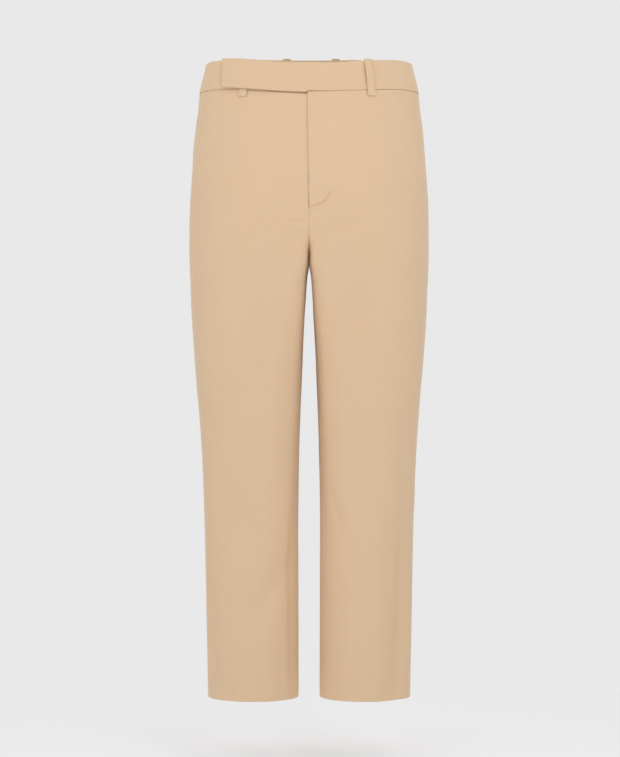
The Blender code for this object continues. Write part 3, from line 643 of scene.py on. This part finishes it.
def panel_grid(name, face):
    """Distance along the section and height of each of a panel's fine rows and columns."""
    edge_rows, side_rows = panel_heights(face)
    places = fine_rows(side_rows, face)
    edge_z = np.interp(places, range(len(edge_rows)), edge_rows)[:, None]
    side_z = np.interp(places, range(len(side_rows)), side_rows)[:, None]
    fade = 1 - smooth(side_z, SEAM_SIDE_Z, SEAM_FADE_Z)

    def height(share, edge_share):
        bend = fade * (waist_seam_z(face, share) - SEAM_SIDE_Z)
        return side_z + bend + (edge_z - side_z) * edge_share**2

    first = height(0, 1)
    reach = crest_distance(face, first) - panel_edge(name, first)
    fine = np.linspace(0, 1, INNER_FINE[face] + 1)[1:-1]
    steps = EDGE_STEPS + 0 * reach
    rest = EDGE_STEPS[-1] + (reach - EDGE_STEPS[-1]) * fine
    inner = np.concatenate([steps, rest], axis=1) / reach
    inner_z = height(WAIST_CREST * inner, 1 - inner)
    inner_along = crest_distance(face, inner_z) - reach * (1 - inner)

    last = height(1, 0)
    outer_reach = section_length(face, last) - SEAM_GAP / 2 - crest_distance(face, last)
    fine = np.linspace(0, 1, OUTER_FINE + 1)[:-1]
    near_side = (outer_reach - EDGE_STEPS[::-1]) / outer_reach
    outer = np.concatenate([fine * near_side[:, :1], near_side], axis=1)
    outer_z = height(WAIST_CREST + (1 - WAIST_CREST) * outer, 0)
    crest = crest_distance(face, outer_z)
    outer_along = crest + (section_length(face, outer_z) - SEAM_GAP / 2 - crest) * outer
    pairs = (inner_along, outer_along), (inner_z, outer_z)
    return [np.concatenate(pair, axis=1) for pair in pairs]


def leg_panel(name, finish):
    """A front or back: its face with its folds, and its turnings pressed back inside."""
    face = name.split("_")[0]
    half = 1 if name.endswith("left") else -1
    along, z = panel_grid(name, face)
    base = surface(face, half, along, z)
    normals, _ = grid_normals(base, face)

    to_inner, to_side = edge_distances(base, 1)
    to_top, to_hem = edge_distances(base, 0)
    to_seam = np.minimum(np.minimum(to_inner, to_side), to_top)
    free = smooth(to_seam, *CREASE_FREE)
    depth = fold_depth(name, abs(base[..., 0]), z, np.minimum(to_inner, to_side))
    from_crest = along - crest_distance(face, z)
    depth = depth - wave_height(name, from_crest, z) * free
    if name == "front_left":
        depth = depth + fly_relief(along, z) * smooth(to_top, *FLY_TOP_FREE)
    if name == "front_right":
        reach = 1 - smooth(along, FLY_DIP_FLAT, FLY_DIP_REACH)
        depth = depth + FLY_DIP * reach * (1 - smooth(z, FLY_DIP_START_Z, FLY_DIP_END_Z))
        depth = depth + tab_slit(along, z)

    fly_edge = smooth(z, FLY_END_Z, FLY_DIP_START_Z) if face == "front" else 0 * z
    ditch = SEAM_DITCH[0] * (1 - smooth(to_seam, 0, SEAM_DITCH[1]))
    edge_roll = np.maximum(rolled(to_inner, SEAM_ROLL), rolled(to_side, SEAM_ROLL))
    edge_roll = np.maximum(edge_roll, rolled(to_top, SEAM_ROLL))
    edge_roll = np.maximum(edge_roll, rolled(to_inner, FLY_ROLL) * fly_edge)
    hem_roll = rolled(to_hem, HEM_ROLL)
    turned = (to_side < TURNING) | (to_hem < HEM_TURNING)
    turned |= (to_inner < TURNING) & (fly_edge == 0)
    wall = FINE_CLOTH * (1 + turned) - hem_roll
    depth = depth + np.where(to_inner < to_side, ditch * (1 - fly_edge), ditch)
    outer = base - normals * (depth + np.maximum(edge_roll, hem_roll))[..., None]
    inner = base - normals * (depth + wall)[..., None]
    meets = (WAIST_MEETS, 0), (SEAM_MEETS, SEAM_MEETS)
    outer, inner = (reaching(grid, *meets) for grid in (outer, inner))
    centre_seam = (z[:, 0] > CROTCH_Z) & (fly_edge[:, 0] == 0)
    for grid in (outer, inner):
        grid[centre_seam, 0, 0] = -half * CENTRE_MEETS
    cloth_piece(name, face, outer, inner, (from_crest, z), base, finish)


# ---- the waistband


def fullness(distance, height, start, most, end):
    return height * smooth(distance, start, most) * (1 - smooth(distance, most, end))


def band(name, face, half, shares, lower, upper, out, finish):
    """A band's face between two edges, with every edge a fold, and its wall behind it. lower
    and upper are the edges' heights above the waist seam, and out how far the band stands out."""
    edge, inside = EDGE_STEPS[:BAND_EDGE], EDGE_STEPS[BAND_EDGE]
    up = closer_at_ends(edge, inside, BAND_HEIGHT, BAND_ROW)[:, None] / BAND_HEIGHT
    foot = waist_seam_z(face, shares) + lower
    head = waist_seam_z(face, shares) + upper
    z = foot + (head - foot) * up
    level = np.where(shares > 0, z, waist_seam_z(face, shares))  # past the centre, ends are upright
    along = shares * (section_length(face, level) - SEAM_GAP / 2)
    base = surface(face, half, along, z, out)
    normals, _ = grid_normals(base, face)
    ends = np.minimum(abs(along - along[:, :1]), abs(along - along[:, -1:]))
    to_foot, to_head = z - z[:1], z[-1:] - z
    to_edge = np.minimum(ends, np.minimum(to_foot, to_head))
    full = fullness(to_foot, *FOOT_FULLNESS) + fullness(to_head, *HEAD_FULLNESS)
    waves = BAND_WAVES * wave_height(name, along, z * 2) * smooth(to_edge, *BAND_FREE)
    roll = rolled(to_edge, FOLD_ROLL)
    outer = base + normals * (full + waves - roll)[..., None]
    inner = base - normals * (BAND_WALL - roll)[..., None]
    meets = [SEAM_MEETS if abs(shares[end]) == 1 else 0 for end in (0, -1)]
    outer, inner = (reaching(grid, (0, 0), meets) for grid in (outer, inner))
    cloth_piece(name, face, outer, inner, (along, z), base, finish)


def band_shares(face, start, end, marks=()):
    """Columns from one share of the way round to another, closer at the ends and at marks."""
    length = section_length(face, SEAM_FRONT_Z)
    steps = EDGE_STEPS[: BAND_EDGE + 1] / length
    inside = even_steps(start - steps[-1], end + steps[-1], BAND_COLUMN / length)
    return np.sort(np.concatenate([start - steps[:-1], inside, end + steps[:-1], marks]))[::-1]


def front_band_top(share):
    return BAND_HEIGHT - TOP_DIP * (1 - smooth(abs(share), *TOP_DIP_SHARES))


def tab_lower(share):
    """The tab's lower edge above the waist seam; past the centre, shares are below 0."""
    return -TAB_OVERHANG - (TAB_OVERHANG + TAB_END_RISE) * share / TAB_END_SHARE


def waistband_left(finish):
    """The left front band, which runs on past the fly as a long tab over the right side."""
    length = section_length("front", SEAM_FRONT_Z)
    corner, notch = FLY_LAP / length, (FLY_LAP + TAB_STEP) / length
    marks = -np.linspace(corner, notch, TAB_NOTCH_COLUMNS)
    shares = band_shares("front", 1, -TAB_END_SHARE, marks)
    lower = BAND_FOOT + (tab_lower(shares) - BAND_FOOT) * smooth(-shares, corner, notch)
    rise = TAB_TOP_RISE * smooth(-shares, *TAB_TOP_SHARES)
    start = TAB_LIFT_START * smooth(-shares, -UNDERLAP_FADE, TAB_LIFT_FROM)
    rest = (TAB_LIFT_END - TAB_LIFT_START) * smooth(-shares, TAB_LIFT_FROM, TAB_LIFT_BY)
    upper, out = front_band_top(shares) + rise, BAND_PROUD + start + rest
    band("waistband_left", "front", 1, shares, lower, upper, out, finish)


def waistband_right(finish):
    """The right front band, whose end runs on behind the left band as the fly's underlap."""
    shares = band_shares("front", 1, -UNDERLAP_SHARE)
    out = BAND_PROUD - UNDERLAP_DIP * smooth(-shares, -UNDERLAP_FADE, TAB_LIFT_FROM)
    upper = front_band_top(shares)
    band("waistband_right", "front", -1, shares, BAND_FOOT, upper, out, finish)


def waistband_back(finish):
    """The back band, in one piece from side seam to side seam."""
    shares = band_shares("back", 1, -1)
    band("waistband_back", "back", 1, shares, BAND_FOOT, BAND_HEIGHT, BAND_PROUD, finish)


# ---- the belt loops

LOOP_EDGE = np.array([0, 0.1, 0.28, 0.55, 0.9]) * MM  # columns near its edges
LOOP_INSIDE, LOOP_COLUMN = 1.3 * MM, 0.45 * MM  # and even ones from here, this far apart
LOOP_PATH_STEPS = 7  # points in each stretch of its middle line
# A line of stitching is sunk into a loop each side of its middle: depth, place and width.
LOOP_CHANNEL = 0.45 * MM, 3.3 * MM, 0.55 * MM
LOOP_TILT = 0.4 * MM  # a bowed loop's edge nearer the centre stands out this much, the other in
TACK_LENGTH = 1.9 * MM
TACK_ABOVE = 2.6 * MM  # from a loop's lower end up to the bar of stitches
TACK_STITCHES = 22
TACK_INSET = 1.1 * MM  # from a loop's edge to the first stitch
TACK_SLANT = 0.3 * MM
THREAD = 0.22 * MM  # its radius
THREAD_OUT, THREAD_IN = 0.35, 1.3  # in radii, how far out its middle lies and its ends sink
STITCH_SIDES, STITCH_POINTS = 6, 5
STITCH_POINTED = 0.25, 0.4  # how sharp its ends are


def through(points, count):
    """A smooth curve through the given points, with count points to each stretch."""
    points = np.array(points, float)
    ends = np.concatenate([[2 * points[0] - points[1]], points, [2 * points[-1] - points[-2]]])
    t = np.linspace(0, 1, count, endpoint=False)[:, None]
    made = []
    for a, b, c, d in zip(ends, ends[1:], ends[2:], ends[3:]):
        square, cube = 2 * a - 5 * b + 4 * c - d, 3 * b - a - 3 * c + d
        made.append(0.5 * (2 * b + (c - a) * t + square * t**2 + cube * t**3))
    return np.concatenate([*made, points[-1:]])


def loop_path(name):
    """The strip's middle line as distances out from the panels and up from the waist seam. Its
    upper end is folded over the band's top edge."""
    _, _, _, _, above, below, wall, bow = LOOPS[name]
    on_band = BAND_PROUD + SEAM_GAP + wall / 2
    on_panel = LOOP_FOOT_OUT + wall / 2
    top = BAND_HEIGHT + above - wall / 2
    points = (
        (on_band - 1.5 * MM, top - 0.05 * MM),
        (on_band - 0.6 * MM, top),
        (on_band - 0.05 * MM, top - 0.7 * MM),
        (on_band, top - 3.5 * MM),
        (on_band + bow * 0.8, BAND_HEIGHT * 0.75),
        (on_band + bow, BAND_HEIGHT * 0.45),
        (on_band + bow * 0.5, BAND_HEIGHT * 0.15),
        (on_band, 0),
        ((on_panel + on_band) / 2, -below * 0.3),
        (on_panel, -below * 0.62),
        (on_panel, -below),
    )
    return through(points, LOOP_PATH_STEPS)


def loop_place(name, above):
    """The share of the way round where a loop's middle lies, at a height above the seam."""
    face, _, top_share, foot_share, top, foot, _, _ = LOOPS[name]
    down = (BAND_HEIGHT + top - above) / (BAND_HEIGHT + top + foot)
    share = top_share + (foot_share - top_share) * down
    return share, waist_seam_z(face, share) + above


def belt_loop(name, finish):
    """A folded strip with a line of stitching along each side."""
    face, half, _, _, _, _, wall, bow = LOOPS[name]
    path = loop_path(name)
    tangent = np.gradient(path, axis=0)
    tangent /= np.linalg.norm(tangent, axis=1, keepdims=True)
    outside = np.stack([-tangent[:, 1], tangent[:, 0]], axis=1)
    across = closer_at_ends(LOOP_EDGE, LOOP_INSIDE, LOOP_WIDTH, LOOP_COLUMN) - LOOP_WIDTH / 2
    share, z = loop_place(name, path[:, 1])
    centre = share * section_length(face, z)
    to_side = LOOP_WIDTH / 2 - abs(across)
    travel = np.concatenate([[0], np.cumsum(np.linalg.norm(np.diff(path, axis=0), axis=1))])
    to_end = (travel[-1] - travel)[:, None]
    depth, place, width = LOOP_CHANNEL
    channel = depth * swell(abs(across), place, width)
    roll = np.maximum(rolled(to_side, wall * WALL_ROLL), rolled(to_end, wall * WALL_ROLL))
    up = path[:, 1:]
    on_band = smooth(up, 0, LOOP_BOW_FADE)
    on_band = on_band * (1 - smooth(up, BAND_HEIGHT - LOOP_BOW_FADE, BAND_HEIGHT))
    tilt = -across / (LOOP_WIDTH / 2) * on_band * (LOOP_TILT if bow else 0)
    sheets = []
    for side, sunk in ((1, roll + channel), (-1, roll)):
        offset = side * (wall / 2 - sunk)
        out = path[:, :1] + outside[:, :1] * offset + tilt
        height = z[:, None] + outside[:, 1:] * offset
        sheets.append(surface(face, half, centre[:, None] + across, height, out))
    cut = (sheets[0] + sheets[1]) / 2
    cloth_piece(name, face, *sheets, (across, travel[:, None]), cut, finish)


def tube(rings, clockwise):
    """Vertices and faces of a closed tube through rings of points."""
    count, sides = len(rings), len(rings[0])
    last = (count - 1) * sides
    faces = []
    for i in range(0, last, sides):
        for j in range(sides):
            k = (j + 1) % sides
            quad = i + j, i + k, i + sides + k, i + sides + j
            faces.append((quad[0], *quad[:0:-1]) if clockwise else quad)
    ends = tuple(range(sides)), tuple(range(last, last + sides))
    faces += [ends[0], ends[1][::-1]] if clockwise else [ends[0][::-1], ends[1]]
    return np.concatenate(rings), faces


def stitch(points):
    """One stitch: a thread along a few points, pointed at both ends."""
    points = np.array(points, float)
    tangent = points[-1] - points[0]
    tangent /= np.linalg.norm(tangent)
    across = np.cross(tangent, (0.3, 0.9, 0.2))  # with any direction off the thread's own
    across /= np.linalg.norm(across)
    other = np.cross(tangent, across)
    turn = np.linspace(0, 2 * math.pi, STITCH_SIDES, endpoint=False)[:, None]
    ring = across * np.cos(turn) + other * np.sin(turn)
    start, power = STITCH_POINTED
    widths = np.sin(np.linspace(start, math.pi - start, len(points))) ** power * THREAD
    return tube([point + ring * width for point, width in zip(points, widths)], False)


def joined(name, shapes, finish):
    """One piece made of many small closed shapes."""
    vertices, faces, count = [], [], 0
    for points, sides in shapes:
        vertices.append(points)
        faces += [tuple(count + corner for corner in side) for side in sides]
        count += len(points)
    mesh = bpy.data.meshes.new(name)
    mesh.from_pydata(np.concatenate(vertices).tolist(), [], faces)
    add_piece(name, mesh, finish)


def loop_tacks(name, finish):
    """The dense bar of thread that holds a loop near its foot."""
    face, half, _, _, _, foot, wall, _ = LOOPS[name]
    path = loop_path(name)[:2:-1]  # upwards, up to the fold at its top
    shapes = []
    for place in np.linspace(-0.5, 0.5, TACK_STITCHES):
        across = place * (LOOP_WIDTH - 2 * TACK_INSET)
        points = []
        for step in np.linspace(-0.5, 0.5, STITCH_POINTS):
            height = TACK_ABOVE - foot + step * TACK_LENGTH
            out = np.interp(height, path[:, 1], path[:, 0]) + wall / 2
            out += THREAD * (THREAD_OUT - THREAD_IN * (abs(step) * 2) ** 3)
            share, z = loop_place(name, height)
            along = share * section_length(face, z) + across + step * TACK_SLANT
            points.append(surface(face, half, along, z, out))
        shapes.append(stitch(points))
    joined(name + "_tacks", shapes, finish)


# ---- the fly

FACING_ROW, FACING_CURVE_ROWS = 4 * MM, 24
SHIELD_ROW, SHIELD_INSIDE = 3 * MM, 2 * MM
TAPE_ROW = 4 * MM
CHAIN_DROP = 1 * MM  # from each end of the tapes to the chain's
COIL_OFFSET = 0.85 * MM  # from the chain's middle to each row of coils
TOOTH_PITCH = 1.35 * MM
TOOTH_SIZE = np.array((3.0, 0.9, 0.62)) * MM  # across the chain, thick, and up
TOOTH_SIDES = 8
TOOTH_RINGS = ((-1, 0.55), (-0.75, 1), (0.75, 1), (1, 0.55))  # each ring's place and size


def fly_strip(name, heights, sides, depth, wall, finish, slot="wool"):
    """A strip inside the fly, from one of its sides to the other at each height."""
    z = heights[:, None]
    first, last = (each + 0 * z for each in sides)
    columns = closer_at_ends(EDGE_STEPS[:STRIP_EDGE], STRIP_INSIDE, STRIP_WIDTH, STRIP_COLUMN)
    along = first + (last - first) * (columns / STRIP_WIDTH)
    base = surface("front", 1, along, z, -depth)
    normals, _ = grid_normals(base, "front")
    to_edge = np.minimum(np.minimum(along - first, last - along), np.minimum(z[0] - z, z - z[-1]))
    roll = rolled(to_edge, wall * WALL_ROLL)
    outer = base - normals * roll[..., None]
    inner = base - normals * (wall - roll)[..., None]
    cloth_piece(name, "front", outer, inner, (along, z), base, finish, slot)


def fly_facing(finish):
    """The facing behind the left front's edge. Its free side curves in to the seam at the fly's
    stitched end."""
    straight = even_steps(SEAM_FRONT_Z - SEAM_GAP, FACING_END_Z + FACING_CURVE, FACING_ROW)[:-1]
    turned = np.sin(np.linspace(0, math.pi / 2, FACING_CURVE_ROWS))
    heights = np.concatenate([straight, FACING_END_Z + FACING_CURVE * (1 - turned)])
    into = np.clip((FACING_END_Z + FACING_CURVE - heights[:, None]) / FACING_CURVE, 0, 1)
    width = FACING_WIDTH * np.sqrt(1 - (1 - FACING_NARROW**2) * into**2)
    sides = FACING_EDGE, FACING_EDGE + width
    fly_strip("fly_facing", heights, sides, FACING_DEPTH, FINE_FACING, finish)


def fly_shield(finish):
    """The doubled flap behind the zip."""
    top = SEAM_FRONT_Z - SHIELD_TOP_DROP
    edge = EDGE_STEPS[:SHIELD_EDGE]
    inside = even_steps(top - SHIELD_INSIDE, FLY_END_Z + SHIELD_INSIDE, SHIELD_ROW)
    heights = np.concatenate([top - edge, inside, FLY_END_Z + edge[::-1]])
    fly_strip("fly_shield", heights, SHIELD_EDGES, SHIELD_DEPTH, SHIELD_WALL, finish)


def tooth(along, z):
    """One coil turn of the zip's chain, a short rounded bar across it."""
    width, thick, tall = TOOTH_SIZE / 2
    turn = np.linspace(0, 2 * math.pi, TOOTH_SIDES, endpoint=False)
    rings = []
    for across, size in TOOTH_RINGS:
        height = z + tall * size * np.sin(turn)
        out = -(TAPE_DEPTH - thick) + thick * size * np.cos(turn)
        rings.append(surface("front", 1, along + across * width + 0 * turn, height, out))
    return tube(rings, True)


def zip_closure(tape_finish, coil_finish):
    """The closed zip: two tapes edge to edge, and between them the chain's two rows of coils."""
    heights = even_steps(SEAM_FRONT_Z - ZIP_TOP_DROP, ZIP_END_Z, TAPE_ROW)
    fly_strip("zip", heights, TAPE_EDGES, TAPE_DEPTH, TAPE_WALL, tape_finish, "zip_tape")
    count = int((heights[0] - heights[-1] - 2 * CHAIN_DROP) / TOOTH_PITCH)
    shapes = []
    for k in range(count):
        z = heights[0] - CHAIN_DROP - k * TOOTH_PITCH
        shapes.append(tooth(CHAIN_CENTRE - COIL_OFFSET, z))
        shapes.append(tooth(CHAIN_CENTRE + COIL_OFFSET, z - TOOTH_PITCH / 2))
    joined("zip_coils", shapes, coil_finish)


# ---- materials

# Each cloth finish's colour, its darker yarns', how rough it is, and its twill's pitch.
CLOTH_FINISHES = {
    "wool": ((0.735, 0.533, 0.348, 1.0), (0.670, 0.470, 0.290, 1.0), 0.82, 0.85 * MM),
    "zip_tape": ((0.60, 0.44, 0.30, 1.0), (0.51, 0.374, 0.255, 1.0), 0.7, 1.1 * MM),
}
# Each plain finish's colour, its darker spots', how rough and how metallic it is, and the scale
# of its grain.
PLAIN_FINISHES = {
    "zip_coil": ((0.64, 0.50, 0.36, 1.0), (0.544, 0.425, 0.306, 1.0), 0.4, 0.0, 700),
    "thread": ((0.88, 0.69, 0.50, 1.0), (0.748, 0.5865, 0.425, 1.0), 0.6, 0.0, 4000),
    "steel": ((0.62, 0.61, 0.58, 1.0), (0.496, 0.488, 0.464, 1.0), 0.32, 1.0, 900),
}
WAVE_UNIT = 0.314  # a wave texture's period at scale 1, in metres
YARN_PITCH = 0.45 * MM
TWILL_SLANT = math.radians(-32)
TWILL_BUMP, YARN_BUMP = 0.35, 0.21  # how strongly the ribs show, and the yarns across them
SHEEN_TINT = (1.0, 0.93, 0.84, 1.0)


class Nodes:
    """The node tree of a material or a world, with short ways to add and join its nodes."""

    def __init__(self, owner):
        owner.use_nodes = True
        self.tree = owner.node_tree

    def add(self, kind, settings=None, **inputs):
        made = self.tree.nodes.new("ShaderNode" + kind)
        for key, value in (settings or {}).items():
            setattr(made, key, value)
        self.set(made, **inputs)
        return made

    def set(self, node, **inputs):
        for key, value in inputs.items():
            socket = node.inputs[key.replace("_", " ")]
            if isinstance(value, bpy.types.NodeSocket):
                self.tree.links.new(value, socket)
            else:
                socket.default_value = value

    def join(self, kind, settings, *values):
        """A node whose first inputs are linked to the given sockets in turn."""
        made = self.add(kind, settings)
        for value, socket in zip(values, made.inputs):
            self.tree.links.new(value, socket)
        return made.outputs[0]

    def dyed(self, share, colour, deep):
        """A colour between two, at a share from 0 to 1. The node's other inputs aren't colours."""
        made = self.add("Mix", {"data_type": "RGBA"}, Factor=share)
        made.inputs[6].default_value = colour
        made.inputs[7].default_value = deep
        return made.outputs[2]

    def bands(self, direction, place, pitch, **inputs):
        """Even bands of the given pitch across one direction."""
        settings = {"wave_type": "BANDS", "bands_direction": direction}
        scale = WAVE_UNIT / pitch
        return self.add("TexWave", settings, Vector=place, Scale=scale, Detail=2.0, **inputs)

    def end_with(self, share, first, second):
        """The surface is a mix of two shaders, at a share from 0 to 1."""
        both = self.join("MixShader", {}, share, first.outputs[0], second.outputs[0])
        output = next(node for node in self.tree.nodes if "Output" in node.name)
        self.tree.links.new(both, output.inputs["Surface"])


def cloth_material(name, colour, deep, roughness, twill):
    """Fine twill: slanting ribs of yarn, a soft nap, and yarns a little lighter and darker."""
    material = bpy.data.materials.new(name)
    n = Nodes(material)
    place = n.add("Attribute", {"attribute_name": "cloth_place"}).outputs["Vector"]
    slant = n.add("Mapping", Vector=place, Rotation=(0, 0, TWILL_SLANT)).outputs["Vector"]
    ribs = n.bands("X", slant, twill, Distortion=0.9, Detail_Scale=1.5)
    yarns = n.bands("Y", place, YARN_PITCH, Distortion=1.2)
    fibres = n.add("TexNoise", Vector=place, Scale=2600.0, Detail=3.0, Roughness=0.6)
    stretched = n.add("Mapping", Vector=place, Scale=(1.0, 0.16, 1.0)).outputs["Vector"]
    melange = n.add("TexNoise", Vector=stretched, Scale=900.0, Detail=4.0, Roughness=0.65)
    cloudy = n.add("TexNoise", Vector=place, Scale=16.0, Detail=3.0, Roughness=0.55)
    shades = []
    for noise, most in ((melange, 0.42), (cloudy, 0.14)):
        value = noise.outputs["Fac"]
        spread = n.add("MapRange", Value=value, From_Min=0.3, From_Max=0.7, To_Max=most)
        shades.append(spread.outputs[0])
    shade = n.join("Math", {"operation": "ADD"}, *shades)
    normal = {}
    layers = (
        (ribs, TWILL_BUMP, 0.22 * MM),
        (yarns, YARN_BUMP, 0.12 * MM),
        (fibres, 0.35, 0.10 * MM),
    )
    for texture, strength, height in layers:
        value = texture.outputs["Fac"]
        bump = n.add("Bump", Height=value, Strength=strength, Distance=height, **normal)
        normal = {"Normal": bump.outputs[0]}
    least, most = roughness - 0.06, roughness + 0.06
    rough = n.add("MapRange", Value=fibres.outputs["Fac"], To_Min=least, To_Max=most)
    n.set(
        n.tree.nodes["Principled BSDF"],
        Base_Color=n.dyed(shade, colour, deep),
        Roughness=rough.outputs[0],
        Sheen_Weight=0.22,
        Sheen_Roughness=0.45,
        Sheen_Tint=SHEEN_TINT,
        Specular_IOR_Level=0.28,
        **normal,
    )
    return material


def plain_material(name, colour, deep, roughness, metallic, scale):
    """Thread, coil or steel: a little unevenness in its colour, gloss and surface."""
    material = bpy.data.materials.new(name)
    n = Nodes(material)
    place = n.add("TexCoord").outputs["Object"]
    grain = n.add("TexNoise", Vector=place, Scale=scale, Detail=4.0).outputs["Fac"]
    least, most = roughness - 0.08, roughness + 0.08
    n.set(
        n.tree.nodes["Principled BSDF"],
        Base_Color=n.dyed(grain, colour, deep),
        Roughness=n.add("MapRange", Value=grain, To_Min=least, To_Max=most).outputs[0],
        Normal=n.add("Bump", Height=grain, Strength=0.15, Distance=0.1 * MM).outputs[0],
        Metallic=metallic,
    )
    return material


# ---- the pieces

looks = {name: cloth_material(name, *values) for name, values in CLOTH_FINISHES.items()}
looks |= {name: plain_material(name, *values) for name, values in PLAIN_FINISHES.items()}
wool = looks["wool"]
for panel_name in ("front_right", "front_left", "back_right", "back_left"):
    leg_panel(panel_name, wool)
waistband_left(wool)
waistband_right(wool)
waistband_back(wool)
for loop_name in LOOPS:
    belt_loop(loop_name, wool)
    loop_tacks(loop_name, looks["thread"])
fly_facing(wool)
fly_shield(wool)
zip_closure(looks["zip_tape"], looks["zip_coil"])
for metal_name in ("zip_slider", "hook_plate", "bar_plate"):
    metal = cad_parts[metal_name].data
    metal.materials.clear()
    metal.materials.append(looks["steel"])

# ---- the studio

BACKDROP = 0.812  # the pale grey behind the garment, linear
AMBIENT = (0.52, 0.52, 0.5304, 1.0)  # what lights it from all round
# Each light's name, place, size and power. They all face the garment's middle.
LIGHTS = (
    ("key", (0.9, -2.1, 1.8), 0.8, 13.5),
    ("key_left", (-1.1, -2.4, 1.5), 1.4, 8.5),
    ("fill", (-2.0, -1.4, 0.3), 1.8, 6.0),
    ("low", (0.0, -2.6, -0.9), 1.2, 8.5),
    ("hip_left", (-0.95, -0.6, 0.25), 0.5, 1.6),
    ("hip_right", (0.95, -0.6, 0.25), 0.5, 2.5),
    ("back_left", (-1.4, 2.3, 1.2), 1.0, 14.0),
    ("back_right", (1.2, 2.3, 1.6), 0.8, 22.0),
)
FLOOR_Z = -990 * MM
FLOOR_RADIUS, FLOOR_SIDES = 14.0, 96
FLOOR_WHITE = 0.94
# Between these distances from the middle the floor fades from this share of the backdrop's own
# grey to all of it, for the eye alone.
FLOOR_FADE = 0.1, 0.9
FLOOR_LEAST = 0.4
CAMERA_AWAY = 3.0
CAMERA_Z = -431.2 * MM
CAMERA_X = 1.3 * MM
PIXEL = 1.45 * MM  # one pixel of the photograph, at the garment's middle
FRAME_HEIGHT = 757
SENSOR = 36.0
CAMERA_REACH = 60.0


def grey(level):
    return (level, level, level, 1.0)


def studio_floor():
    """A wide pale disc that turns to the backdrop's own grey away from the garment."""
    turn = np.linspace(0, 2 * math.pi, FLOOR_SIDES, endpoint=False)
    rim = [(FLOOR_RADIUS * math.cos(a), FLOOR_RADIUS * math.sin(a), FLOOR_Z) for a in turn]
    faces = [(i, (i + 1) % FLOOR_SIDES, FLOOR_SIDES) for i in range(FLOOR_SIDES)]
    mesh = bpy.data.meshes.new("floor")
    mesh.from_pydata([*rim, (0, 0, FLOOR_Z)], [], faces)
    mesh.materials.append(bpy.data.materials.new("floor"))
    n = Nodes(mesh.materials[0])
    place = n.add("TexCoord").outputs["Object"]
    flat = n.add("Mapping", Vector=place, Scale=(1.0, 1.0, 0.0)).outputs["Vector"]
    away = n.add("VectorMath", {"operation": "LENGTH"}, Vector=flat)
    fade = n.add("MapRange", {"interpolation_type": "SMOOTHSTEP"}, Value=away.outputs["Value"])
    n.set(fade, From_Min=FLOOR_FADE[0], From_Max=FLOOR_FADE[1], To_Min=FLOOR_LEAST)
    eye = n.add("LightPath").outputs["Is Camera Ray"]
    share = n.join("Math", {"operation": "MULTIPLY"}, fade.outputs[0], eye)
    white = n.tree.nodes["Principled BSDF"]
    n.set(white, Base_Color=grey(FLOOR_WHITE), Roughness=0.9)
    n.end_with(share, white, n.add("Emission", Color=grey(BACKDROP)))
    made = bpy.data.objects.new("floor", mesh)
    bpy.context.scene.collection.objects.link(made)


def studio_world():
    """The backdrop's grey to the eye, and a softer light on the garment."""
    world = bpy.data.worlds.new("studio")
    bpy.context.scene.world = world
    n = Nodes(world)
    seen = n.tree.nodes["Background"]
    n.set(seen, Color=grey(BACKDROP))
    eye = n.add("LightPath").outputs["Is Camera Ray"]
    n.end_with(eye, n.add("Background", Color=AMBIENT), seen)


def area_light(name, place, size, power):
    """A square soft light that faces the garment's middle."""
    data = bpy.data.lights.new(name, "AREA")
    data.size = size
    data.energy = power
    made = bpy.data.objects.new(name, data)
    made.location = place
    made.rotation_mode = "QUATERNION"
    made.rotation_quaternion = (Vector(place) - Vector((0, 0, CAMERA_Z))).to_track_quat("Z", "Y")
    bpy.context.scene.collection.objects.link(made)


def studio_camera():
    """Level with the garment's middle, straight in front of it, with the photograph's scale."""
    data = bpy.data.cameras.new("camera")
    data.sensor_width = SENSOR
    data.lens = SENSOR * CAMERA_AWAY / (PIXEL * FRAME_HEIGHT)
    data.clip_end = CAMERA_REACH
    made = bpy.data.objects.new("camera", data)
    made.location = (CAMERA_X, -CAMERA_AWAY, CAMERA_Z)
    made.rotation_euler = (math.radians(90), 0, 0)
    bpy.context.scene.collection.objects.link(made)
    bpy.context.scene.camera = made


studio_floor()
studio_world()
for light in LIGHTS:
    area_light(*light)
studio_camera()
bpy.context.scene.view_settings.view_transform = "Standard"
